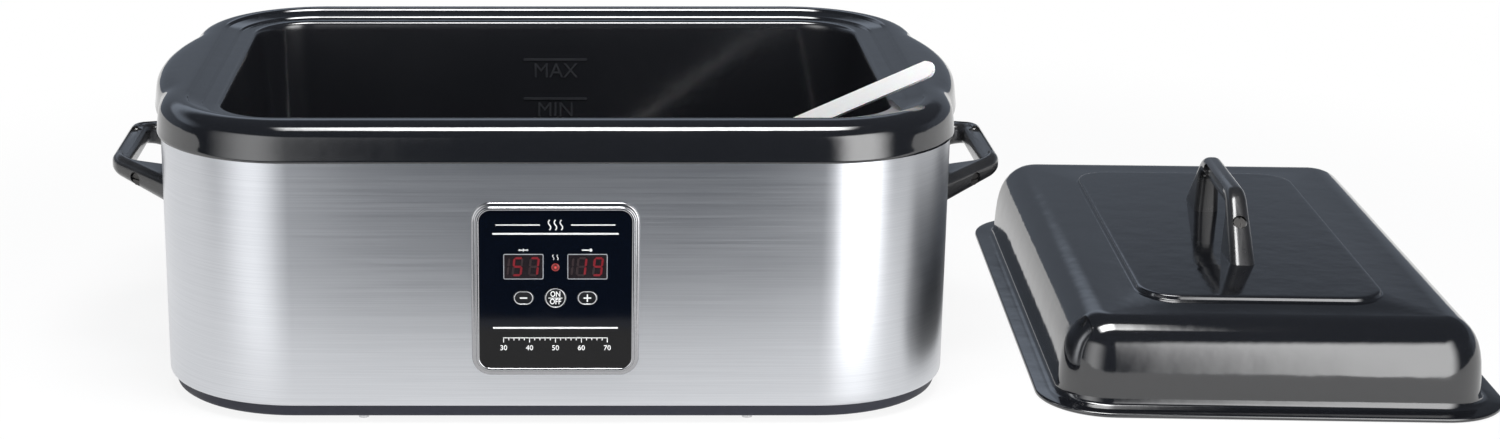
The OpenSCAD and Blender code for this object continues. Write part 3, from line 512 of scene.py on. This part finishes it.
def plate(bm, x, z, wide, high, thick=INK, turn=0.0, slant=0.0, radius=0.0, base=FACE, steps=6):
    """A thin plate that lies on a face, as ink does; x and z are measured from the face's middle."""
    corners = bmesh.ops.create_grid(bm, x_segments=1, y_segments=1, size=0.5)["verts"]
    bmesh.ops.scale(bm, vec=(wide * MM, high * MM, 1.0), verts=corners)
    face = corners[0].link_faces[0]
    if radius:
        before = set(bm.faces) - {face}
        bmesh.ops.bevel(bm, geom=corners, offset=radius * MM, offset_type="OFFSET", segments=steps,
                        profile=0.5, affect="VERTICES", material=-1)
        face = [f for f in bm.faces if f not in before][0]
    top = extrude(bm, [face], thick)
    whole = list(set(top) | {v for t in top for e in t.link_edges for v in e.verts})
    shear = Matrix.Identity(4)
    shear[0][1] = slant
    spot = Matrix.Translation((x * MM, z * MM, base * MM)) @ shear @ Matrix.Rotation(turn, 4, "Z")
    bmesh.ops.transform(bm, matrix=spot, verts=whole)


def lettering(words, size, thick, matrix, bold=0.0):
    """Raised plain letters or numbers, as a mesh."""
    curve = bpy.data.curves.new("lettering", "FONT")
    curve.body = words
    curve.size = size * MM
    curve.align_x = "CENTER"
    curve.align_y = "CENTER"
    curve.extrude = thick / 2 * MM
    curve.offset = bold * MM
    curve.resolution_u = 3
    text = put("lettering", curve)
    bm = bmesh.new()
    bm.from_mesh(text.evaluated_get(bpy.context.evaluated_depsgraph_get()).to_mesh())
    bpy.data.objects.remove(text)
    bpy.data.curves.remove(curve)
    bm.transform(matrix)
    return bm


def wave(bm, x, z, high, swing, line):
    """A rising warm-air line made of short slanted plates."""
    steps, overlap = 14, 1.12
    for i in range(steps):
        t0, t1 = i / steps, (i + 1) / steps
        x0, x1 = (swing * math.sin(2 * math.pi * t) for t in (t0, t1))
        run = math.hypot(x1 - x0, high / steps)
        plate(bm, x + (x0 + x1) / 2, z - high / 2 + high * (t0 + t1) / 2, run * overlap, line,
              turn=math.atan2(high / steps, x1 - x0))


title_row, label_row, lamp_sign_row, scale_row = 41.6, 25.6, 21.0, -31.0
scale_half, scale_steps, scale_line, scale_start, degrees_a_step, number_drop = 32.0, 20, 0.5, 30, 2, 6.6
marks_bm = bmesh.new()
for row in (36.0, -24.5):
    plate(marks_bm, 0.0, row, wide=77.0, high=1.1, radius=0.3)
for i in (-1, 0, 1):
    wave(marks_bm, 3.6 * i, title_row, high=6.4, swing=0.75, line=0.75)
for side in (-1, 1):
    plate(marks_bm, side * 23.0, title_row, wide=27.0, high=0.7, radius=0.2)
for side in (-1, 1):
    wave(marks_bm, side * 1.3, lamp_sign_row, high=3.2, swing=0.4, line=0.45)
plate(marks_bm, -COLUMN, label_row, wide=6.0, high=0.55, radius=0.15)
for i in (-1, 0, 1):
    high = 1.9 if i == 0 else 1.2
    plate(marks_bm, -COLUMN + 2.4 * i, label_row, wide=0.55, high=high, radius=0.15)
plate(marks_bm, COLUMN - 1.0, label_row, wide=5.0, high=0.7, radius=0.3)
plate(marks_bm, COLUMN + 2.0, label_row, wide=1.9, high=1.9, radius=0.9)
plate(marks_bm, 0.0, scale_row, wide=2 * scale_half + scale_line, high=scale_line, radius=0.1)
for i in range(scale_steps + 1):
    at_x = scale_half * (2 * i / scale_steps - 1)
    high = 3.0 if i % 5 == 0 else 1.6
    plate(marks_bm, at_x, scale_row - high / 2, wide=scale_line, high=high, radius=0.1)
    if i % 5 == 0:
        number = str(scale_start + degrees_a_step * i)
        spot = Matrix.Translation((at_x * MM, (scale_row - number_drop) * MM, (FACE + INK / 2) * MM))
        add_to(marks_bm, lettering(number, 4.6, INK, spot, bold=0.06))
marks_bm.transform(PANEL)
place(marks_bm, "window_marks", white_ink, "heater")


# Displays. Two red seven-segment units show through the window, each in a thin grey outline;
# a half figure and two whole figures, slanted, with the unlit segments faintly visible.
red_glow = (0.105, 0.002, 0.006)
lit_red = grained("lit_red", red_glow, 0.35, grain=1600.0)
shade(lit_red, {"Emission Color": (*red_glow, 1.0), "Emission Strength": 0.9})
unlit_red = grained("unlit_red", (0.022, 0.011, 0.013), 0.35, grain=1600.0)
grey_ink = grained("grey_ink", (0.30, 0.31, 0.33), 0.45, grain=1800.0, spread=0.08)
display_dark = grained("display_dark", (0.012, 0.008, 0.010), 0.20, grain=900.0, relief=0.01)
SEGMENTS = {"5": "acdfg", "7": "abc", "1": "bc", "9": "abcdfg"}


def ring_plate(bm, x, z, half_x, half_y, radius, line):
    """A printed outline with rounded corners."""
    before = set(bm.verts)
    loops = [rounded_loop(bm, half_x - w, half_y - w, max(radius - w, 0.2), h, (0, 0)) for w, h in (
        (0.0, 0.0), (0.0, INK), (line, INK + SLOPE), (line, SLOPE))]
    loft(bm, loops, closed=True)
    new = [v for v in bm.verts if v not in before]
    bmesh.ops.translate(bm, vec=(x * MM, z * MM, FACE * MM), verts=new)


def figure(lit, unlit, x, z, number, half=False):
    """One slanted figure; its lit segments go into the first bmesh, the others into the second."""
    wide, high, bar, gap, slant, thick = 6.2, 12.2, 1.35, 0.35, 0.11, 0.06
    for name, across, up, upright in (
            ("a", 0, 1, False), ("g", 0, 0, False), ("d", 0, -1, False), ("f", -1, 0.5, True),
            ("b", 1, 0.5, True), ("e", -1, -0.5, True), ("c", 1, -0.5, True)):
        if half and name not in "bc":
            continue
        px, pz = across * (wide - bar) / 2, up * (high - bar) / 2
        long = ((high - bar) / 2 if upright else wide - bar) - gap
        bm = lit if name in SEGMENTS.get(number, "") else unlit
        plate(bm, x + px + slant * pz, z + pz, wide=long, high=bar, thick=thick, slant=slant,
              turn=math.radians(90) if upright else 0.0, radius=0.44 * bar, base=FACE + thick, steps=1)


display_row = 15.0
lit_bm, unlit_bm, outline_bm, dark_bm = (bmesh.new() for _ in range(4))
for middle, (tens, ones) in ((-COLUMN, "57"), (COLUMN, "19")):
    ring_plate(outline_bm, middle, display_row, half_x=12.3, half_y=8.15, radius=1.0, line=0.55)
    plate(dark_bm, middle, display_row, wide=23.4, high=15.1, thick=0.05, radius=0.5)
    figure(lit_bm, unlit_bm, middle - 11.6, display_row, "", half=True)
    figure(lit_bm, unlit_bm, middle - 3.6, display_row, tens)
    figure(lit_bm, unlit_bm, middle + 6.4, display_row, ones)
for bm, name, finish in (
        (lit_bm, "lit_segments", lit_red), (unlit_bm, "unlit_segments", unlit_red),
        (outline_bm, "display_outlines", grey_ink), (dark_bm, "display_faces", display_dark)):
    bm.transform(PANEL)
    place(bm, name, finish, "heater")


# Heat lamp. A small red indicator that sits flush in the window between the displays: a clear
# red dome with a bright middle in a thin ring.
lamp_row = 14.6
lamp_bm = bmesh.new()
lamp_loops = [rounded_loop(lamp_bm, r, r, r, h) for r, h in (
    (2.5, 2.0), (2.45, 2.12), (2.2, 2.2), (1.9, 2.12), (1.75, 2.1), (1.6, 2.2), (1.2, 2.34), (0.6, 2.42))]
capped_loft(lamp_bm, lamp_loops, first_margin=0.3, last_margin=0.2)
bmesh.ops.translate(lamp_bm, vec=(0.0, lamp_row * MM, 0.0), verts=lamp_bm.verts)
lamp_bm.transform(PANEL)
lamp_red, wire = new_finish("lamp_red")
across, _, tall = wire.node("TexCoord", out="Object").split()
off_middle = across.distance(tall - (PANEL_Z + lamp_row) * MM)
core = off_middle.smooth(0.0003, 0.0012, 1.0, 0.0) + 0.30 * off_middle.smooth(0.0017, 0.0021)
shade(lamp_red, {
    "Base Color": (0.07, 0.004, 0.004, 1.0),
    "Roughness": 0.18,
    "Emission Color": core.blend((0.05, 0.002, 0.002), (0.80, 0.10, 0.09)),
    "Emission Strength": 1.0})
place(lamp_bm, "lamp_dome", lamp_red, "heater")


# Buttons. Black rubber keys that come through the window: an oval minus and plus and a round
# switch, each with a printed silver ring and white signs. Each key presses a switch behind it.
key_row, sign_face = -5.0, 2.52
key_black = grained("key_black", (0.006, 0.0065, 0.008), 0.24, grain=1500.0, relief=0.05)
silver_ink = grained("silver_ink", (0.62, 0.62, 0.63), 0.28, metal=0.7, grain=1600.0, spread=0.06)


def key(name, x, half_x, half_y, signs):
    """A key with a shallow dished top; its skirt and stem sit behind the window."""
    radius = half_y - 0.004
    rubber, ring = bmesh.new(), bmesh.new()
    rubber_loops = rings(rubber, half_x, half_y, radius, (
        (-2.0, -1.7), (1.0, -1.3), (1.0, -0.34), (0.0, -0.3), (0.0, 2.2), (-0.06, 2.42), (-0.2, 2.54),
        (-0.5, 2.6), (-1.5, 2.57), (-2.6, 2.52)), (2, 0))
    capped_loft(rubber, rubber_loops, first_margin=0.4, last_margin=0.4)
    ring_loops = rings(ring, half_x, half_y, radius, (
        (-0.28, 2.50), (-0.32, 2.60), (-0.42, 2.66), (-0.74, 2.67), (-0.84, 2.61), (-0.88, 2.53)), (2, 0))
    loft(ring, ring_loops, closed=True)
    for made, title, finish, nodes in ((rubber, name + "_cap", key_black, [name + "_button"]),
                                       (ring, name + "_ring", silver_ink, []),
                                       (signs, name + "_sign", white_ink, [])):
        bmesh.ops.translate(made, vec=(x * MM, key_row * MM, 0.0), verts=made.verts)
        made.transform(PANEL)
        place(made, title, finish, name + "_key", nodes)


minus_sign, plus_sign, power_sign = (bmesh.new() for _ in range(3))
plate(minus_sign, 0.0, 0.0, wide=4.6, high=0.85, radius=0.2, base=sign_face)
plate(plus_sign, 0.0, 0.0, wide=4.8, high=0.85, radius=0.2, base=sign_face)
plate(plus_sign, 0.0, 0.0, wide=0.85, high=4.8, radius=0.2, base=sign_face + 0.01)
plate(power_sign, 0.0, 0.0, wide=8.8, high=0.4, radius=0.1, base=sign_face)
for word, up in (("ON", 2.4), ("OFF", -2.4)):
    lifted = Matrix.Translation((0.0, up * MM, (sign_face + INK / 2) * MM))
    narrow = Matrix.Diagonal((0.80, 1.0, 1.0, 1.0))
    add_to(power_sign, lettering(word, 5.0, INK, lifted @ narrow, bold=0.08))
key("minus", -COLUMN, half_x=6.15, half_y=4.55, signs=minus_sign)
key("power", 0.0, half_x=6.55, half_y=6.55, signs=power_sign)
key("plus", COLUMN, half_x=6.15, half_y=4.55, signs=plus_sign)


# Cord gland. A moulded nylon bush, dark like the control box, in a round hole of the back sheet.
# It is screwed through the sheet and held by a nut inside.
refinish(dark_plastic, "cord_gland")


# Side handles. Straps of black phenolic with rounded edges, narrowed towards the bar, with a
# long recess in the bar and a counterbore in each leg for the screw into the steel bracket.
phenolic = grained("black_phenolic", (0.016, 0.016, 0.017), 0.30, grain=1100.0, relief=0.10, spread=0.3)
shade(phenolic, {"Coat Weight": 0.55, "Coat Roughness": 0.12})
# The handle screws get a dark colour as painted shade of the counterbores they sit in.
recess_shaded_screws = grained("screws_with_painted_recess_shade", (0.06, 0.058, 0.056), 0.34, metal=0.8, grain=2500.0, relief=0.05)
bracket_steel = grained("bracket_steel", (0.45, 0.45, 0.46), 0.40, metal=1.0, grain=1500.0, relief=0.05)


def plug(half_x, half_y, radius, line, cuts):
    """A closed body along a section, for cutting a slot or a recess."""
    bm = bmesh.new()
    loops = rings(bm, half_x, half_y, radius, line, cuts)
    loft(bm, loops)
    for loop in (loops[0], loops[-1]):
        bmesh.ops.edgeloop_fill(bm, edges=loop)
    return bm


def strap_handle(foot_z, bar_z):
    """The strap in its own frame: x leads away from the wall, y follows the bar, z is its width.
    Its feet lie foot_z and its bar lies bar_z above the line through the screws."""
    rise, half_span, half_bar, half_open, foot, bar = 42.0, 84.0, 45.0, 44.0, 17.0, 13.5
    inside, outer_round, inner_round, edge_round = 30.0, 18.0, 6.0, 5.5
    bore_radius, bore_depth, bore_floor, screw_along, leg_half = 4.8, 20.0, 2.6, 27.0, 6.0
    slot_half, slot_reach, slot_lift = 3.5, 33.0, 6.4
    leg = math.atan2(rise, half_span - half_bar)
    corners = [(0, -half_span), (rise, -half_bar), (rise, half_bar), (0, half_span),
               (0, half_open), (inside, half_open), (inside, -half_open), (0, -half_open)]
    bm = bmesh.new()
    face = bm.faces.new([bm.verts.new((x * MM, y * MM, -foot / 2 * MM)) for x, y in corners])
    extrude(bm, [face], foot)
    for at_x, offset in ((rise, outer_round * math.tan(leg / 2)), (inside, inner_round)):
        upright = [e for e in bm.edges if abs(e.verts[0].co.z - e.verts[1].co.z) > 1e-6
                   and abs(e.verts[0].co.x - at_x * MM) < 1e-6]
        bmesh.ops.bevel(bm, geom=upright, offset=offset * MM, offset_type="OFFSET", segments=8, profile=0.5,
                        affect="EDGES", material=-1)
    for v in bm.verts:
        run = v.co.x / (rise * MM)
        v.co.z = v.co.z * (1.0 - (1.0 - bar / foot) * run) + (foot_z + (bar_z - foot_z) * run) * MM
    sides = [f for f in bm.faces if abs(f.normal.z) > 0.7]
    rim = [e for f in sides for e in f.edges if e.verts[0].co.x > 1e-6 or e.verts[1].co.x > 1e-6]
    bmesh.ops.bevel(bm, geom=list(set(rim)), offset=edge_round * MM, offset_type="OFFSET", segments=10,
                    profile=0.5, affect="EDGES", material=-1)
    slot = plug(slot_half, slot_reach, slot_half - 0.01, (
        (-0.9, -2.4), (-0.35, -2.3), (0.0, -1.9), (0.0, 10.0)), (0, 2))
    slot_x, slot_z = (rise + inside) / 2, bar_z + slot_lift
    bmesh.ops.translate(slot, vec=(slot_x * MM, 0.0, slot_z * MM), verts=slot.verts)
    for side in (-1, 1):
        bore = bmesh.new()
        bmesh.ops.create_cone(bore, cap_ends=True, segments=40, radius1=bore_radius * MM,
                              radius2=bore_radius * MM, depth=bore_depth * MM)
        along = Vector((math.sin(leg), -side * math.cos(leg), 0.0))
        out = Vector((math.cos(leg), side * math.sin(leg), 0.0))
        leg_start = Vector((0.0, side * (half_span - leg_half / math.sin(leg)), 0.0))
        middle = leg_start + screw_along * along + (bore_floor + bore_depth / 2) * out
        bore.transform(Matrix.Translation(middle * MM) @ out.to_track_quat("Z", "Y").to_matrix().to_4x4())
        add_to(slot, bore)
    return carve(bm, [slot])


screws_z = 125.0
on_wall = Matrix.Translation((shell_half_x * MM, 0.0, screws_z * MM))
for side, turn in (("left", 180.0), ("right", 0.0)):
    handle_bm = strap_handle(foot_z=-2.5, bar_z=5.5)
    handle_bm.transform(Matrix.Rotation(math.radians(turn), 4, "Z") @ on_wall)
    place(handle_bm, side + "_strap", phenolic, "heater", [side + "_handle"])
    refinish(bracket_steel, side + "_handle_bracket")
    refinish(recess_shaded_screws, side + "_handle_screws")


# Pan. Drawn from one steel sheet and coated in black gloss enamel: a deep bowl with a flat
# ledge for the lid, a ridge, a crowned rim rolled over the body, and a grip lobe at each end.
HALF_X, HALF_Y, OPENING_ROUND = 211.0, 140.0, 38.0
DRAFT = 4.0
enamel, wire = new_finish("black_enamel")
spot = wire.node("TexCoord", out="Object")
ripple = spot.noise(60.0, 2.0)
fleck = spot.noise(1400.0, 3.0)
wiped = spot.noise(14.0, 5.0)
across, deep, _ = spot.split()
# The bowl ends a few millimetres outside the opening's edge; the places below are squared.
in_bowl = ((across * across).smooth(0.0455, 0.0462, 1.0, 0.0)
           * (deep * deep).smooth(0.0202, 0.0207, 1.0, 0.0))
speckled = fleck.smooth(0.45, 0.75) + 0.5 * in_bowl
shade(enamel, {
    "Base Color": speckled.blend((0.0050, 0.0054, 0.0068), (0.011, 0.0116, 0.014)),
    "Roughness": wiped.smooth(0.3, 0.7, 0.05, 0.10) + 0.09 * in_bowl,
    "IOR": 1.85,
    "Normal": (0.95 * ripple + 0.05 * fleck).bump(0.05, 0.0025)})


def pan_loop(bm, u, z, lobe=0.0):
    """A loop round the pan, u outside the opening's edge; lobe is how far it follows the lobes."""
    rim_u, rim_gain, lobe_radius, lobe_back, blend = 42.4, 52.4, 249.6, 237.1, 2.0
    radius = OPENING_ROUND + (u if u < 0 else u * rim_gain / rim_u)
    edges = rounded_loop(bm, HALF_X + u, HALF_Y + u, radius, z, (8, 40))
    if lobe:
        for v in {v for e in edges for v in e.verts}:
            if abs(v.co.x) > (HALF_X + u) * MM - 1e-6:
                y = v.co.y / MM
                bulge = math.sqrt(lobe_radius ** 2 - y * y) - lobe_back
                v.co.x += math.copysign(lobe * 0.5 * (bulge + math.hypot(bulge, blend)) * MM, v.co.x)
    return edges


def bowl_corner(radius, start, end):
    """The round between the bowl's floor and its wall, from one angle to another."""
    middle_u, middle_z, steps = -25.83, 47.0, 8
    for i in range(steps + 1):
        a = math.radians(start + (end - start) * i / steps)
        yield middle_u + radius * math.cos(a), middle_z + radius * math.sin(a)


ledge = [
    (-5.0, 115.5), (-0.45, 180.6), (-0.25, 183.4), (0.05, 185.0), (0.75, 186.2), (1.9, 186.85),
    (3.2, 187.0), (10.4, 187.03), (11.3, 187.07), (11.7, 187.2), (11.85, 187.36), (12.5, 188.06),
    (12.65, 188.22), (13.1, 188.4), (13.9, 188.5), (17.0, 189.3), (20.2, 190.2), (20.8, 190.4),
    (21.1, 190.65), (21.25, 190.81), (22.0, 191.61), (22.15, 191.77), (22.7, 192.05), (23.6, 192.25)]
crown = [(25.0, 192.4, 0.1), (27.0, 192.4, 0.35), (29.5, 192.15, 0.75)]
roll = [
    (31.8, 191.6), (33.8, 190.9), (35.6, 190.0), (37.0, 188.95), (38.1, 187.85), (39.0, 186.7),
    (39.85, 185.5), (40.5, 184.1), (41.0, 182.2), (41.35, 180.0), (41.7, 177.2), (42.0, 174.2),
    (42.25, 172.0), (42.45, 170.8), (42.55, 169.9), (42.45, 168.9), (42.1, 168.25), (41.6, 168.0),
    (41.2, 168.2), (41.0, 168.8), (40.9, 172.0), (40.6, 177.0), (40.3, 181.5), (40.15, 184.3),
    (39.45, 185.6), (38.4, 186.6), (37.2, 187.8), (35.8, 188.8), (34.0, 189.7), (31.5, 190.5)]
under_crown = [(27.5, 191.1, 0.4), (24.5, 191.1, 0.08)]
under_ledge = [
    (22.0, 190.1), (18.0, 188.7), (14.0, 187.1), (12.9, 186.2), (12.1, 185.55), (4.0, 185.52), (1.9, 185.1),
    (1.3, 183.0)]
pan_line = [(u, z, 0.0) for u, z in [*bowl_corner(16.0, -90, -DRAFT), *ledge]]
pan_line += crown + [(u, z, 1.0) for u, z in roll] + under_crown
pan_line += [(u, z, 0.0) for u, z in [*under_ledge, *bowl_corner(17.5, -DRAFT, -90)]]
pan_bm = bmesh.new()
pan_loops = [pan_loop(pan_bm, *step) for step in pan_line]
capped_loft(pan_bm, pan_loops, first_margin=4.0, last_margin=4.0)
place(pan_bm, "enamel_pan", enamel, "pan", ["inner_pan"], crease=60.0)

ledge_z = 187.0
levels_bm = bmesh.new()
for words, at_z in (("MAX", 151.0), ("MIN", 122.5)):
    wall_y = HALF_Y - (ledge_z - at_z) * math.tan(math.radians(DRAFT))
    spot = Matrix.Translation((0.0, wall_y * MM, at_z * MM)) @ Matrix.Rotation(
        math.radians(90 - DRAFT), 4, "X")
    add_to(levels_bm, lettering(words, size=15.0, thick=1.0, matrix=spot))
    line = bmesh.new()
    plate(line, 0.0, 8.6, wide=46.0, high=1.8, thick=0.55, radius=0.6, base=0.0)
    line.transform(spot)
    add_to(levels_bm, line)
mark_enamel = grained("level_mark_enamel", (0.022, 0.023, 0.026), 0.24, grain=1200.0, relief=0.05)
place(levels_bm, "level_marks", mark_enamel, "pan")


# Spoon. A slotted spoon moulded in white plastic: a flat handle with rounded edges and a
# broad head with three slots. It leans on the pan's right edge, its head on the pan's floor.
half_handle, half_head, spoon_thick = 5.25, 25.0, 3.5
head_middle, flare_start, flare_long = 327.0, 262.0, 38.0
steps, butt_steps, tip_steps = 120, 12, 16
half_grid, tip_start = steps / 2, steps - tip_steps
spoon_white = grained("white_plastic", (0.90, 0.90, 0.895), 0.34, grain=900.0, relief=0.04, spread=0.02)
shade(spoon_white, {"Subsurface Weight": 0.15, "Subsurface Scale": 0.002})
spoon_bm = bmesh.new()
blank = bmesh.ops.create_grid(spoon_bm, x_segments=steps, y_segments=8, size=half_grid)["verts"]
for v in blank:
    step = round(v.co.x + half_grid)
    if step < butt_steps:
        turn = math.pi / 2 * step / butt_steps
        x = half_handle * (1.0 - math.cos(turn))
        width = half_handle * math.sin(turn)
    elif step > tip_start:
        turn = math.pi / 2 * (step - tip_start) / tip_steps
        x = head_middle + half_head * math.sin(turn)
        width = half_head * math.cos(turn)
    else:
        run = (step - butt_steps) / (tip_start - butt_steps)
        x = half_handle + (head_middle - half_handle) * run
        flare = min(max((x - flare_start) / flare_long, 0.0), 1.0)
        width = half_handle + (half_head - half_handle) * flare * flare * (3 - 2 * flare)
    v.co = Vector((x, v.co.y / half_grid * max(width, 0.01), 0.0)) * MM
extrude(spoon_bm, spoon_bm.faces[:], spoon_thick)
bmesh.ops.remove_doubles(spoon_bm, verts=spoon_bm.verts, dist=1e-5)
slot_half_x, slot_half_y, slot_x, slot_pitch = 19.5, 2.5, 313.0, 11.0
slots = []
for i in (-1, 0, 1):
    slot = plug(slot_half_x, slot_half_y, slot_half_y - 0.01, ((0.0, -4.0), (0.0, 8.0)), (2, 0))
    bmesh.ops.translate(slot, vec=(slot_x * MM, slot_pitch * i * MM, 0.0), verts=slot.verts)
    slots.append(slot)
spoon_bm = carve(spoon_bm, slots)
on_rim = (0.211, -0.088, 0.19366)
heading, dip, tilt, past_rim = 145.4, 28.3, -72.0, 36.28
leaning = (Matrix.Translation(on_rim) @ Matrix.Rotation(math.radians(heading), 4, "Z")
           @ Matrix.Rotation(math.radians(dip), 4, "Y") @ Matrix.Rotation(math.radians(tilt), 4, "X")
           @ Matrix.Translation((-past_rim * MM, 0.0, -spoon_thick / 2 * MM)))
spoon_bm.transform(leaning)
spoon = place(spoon_bm, "slotted_spoon", spoon_white, "spoon", ["spoon"])
rounding = spoon.modifiers.new("rounded_edges", "BEVEL")
rounding.width = 0.0011
rounding.segments = 3
rounding.limit_method = "ANGLE"
rounding.angle_limit = math.radians(50)


# Lid. Drawn in one piece and enamelled like the pan: a rolled lip and a narrow flange, steep
# walls with a broad round shoulder and a raised panel. It lies on the table at the right.
lid_at, lid_turn = (0.464, 0.043, 0.0), -2.5
LID = Matrix.Translation(lid_at) @ Matrix.Rotation(math.radians(lid_turn), 4, "Z")
lid_half_x, lid_half_y, lid_round, lid_thick, lid_top = 134.0, 205.0, 32.0, 1.2, 59.5
crest_half_x, crest_half_y, crest_round = 79.0, 152.0, 25.0
shoulder = [
    (-1.7, 29.0), (-2.9, 35.0), (-4.6, 40.4), (-7.0, 45.1), (-10.2, 49.3), (-14.0, 52.6), (-18.0, 54.9),
    (-22.0, 56.1), (-25.5, 56.42), (-28.0, 56.47)]
lid_line = [
    (12.7, 0.0), (13.4, 0.15), (13.83, 0.6), (13.96, 1.4), (13.83, 2.2), (13.4, 2.8), (12.5, 3.0),
    (5.0, 3.0), (3.2, 3.15), (1.8, 3.7), (0.8, 4.7), (0.2, 6.2), (-0.2, 9.0), (-0.8, 20.0), *shoulder]
lid_under = [
    (11.9, 0.2), (11.9, 1.4), (11.4, 1.8), (5.0, 1.8), (2.4, 2.0), (0.6, 3.0), (-0.6, 5.0), (-1.4, 9.0),
    (-2.1, 20.0)]
lid_under += [(u - 1.2, z - 0.3) for u, z in shoulder[:4]] + [(u - 0.5, z - 1.15) for u, z in shoulder[4:]]
crest_line = [
    (1.6, 56.48), (0.9, 56.55), (0.45, 56.8), (0.2, 57.3), (-0.3, 58.55), (-0.55, 59.0), (-1.0, 59.32),
    (-1.7, 59.46), (-2.8, lid_top)]
lid_bm = bmesh.new()
lips = []
for line, drop in ((lid_line, 0.0), (lid_under, lid_thick)):
    crest = [(u, z - drop) for u, z in crest_line]
    loops = rings(lid_bm, lid_half_x, lid_half_y, lid_round, line, (6, 10))
    loops += rings(lid_bm, crest_half_x, crest_half_y, crest_round, crest, (6, 10))
    loft(lid_bm, loops)
    cap(lid_bm, loops[-1], 3.0)
    lips += loops[0]
bmesh.ops.bridge_loops(lid_bm, edges=lips)
lid_bm.transform(LID)
place(lid_bm, "enamel_lid", enamel, "lid", ["lid_shell"], crease=60.0)

handle_bm = strap_handle(foot_z=0.0, bar_z=0.0)
on_lid = Matrix.Translation((0.0, 0.0, lid_top * MM)) @ Matrix.Rotation(math.radians(-90), 4, "Y")
handle_bm.transform(LID @ on_lid)
place(handle_bm, "lid_strap", phenolic, "lid", ["lid_handle"])
refinish(bracket_steel, "lid_handle_bracket")
refinish(recess_shaded_screws, "lid_handle_screws")


# Sizes. At the end the view layer is brought up to date.
bpy.context.view_layer.update()
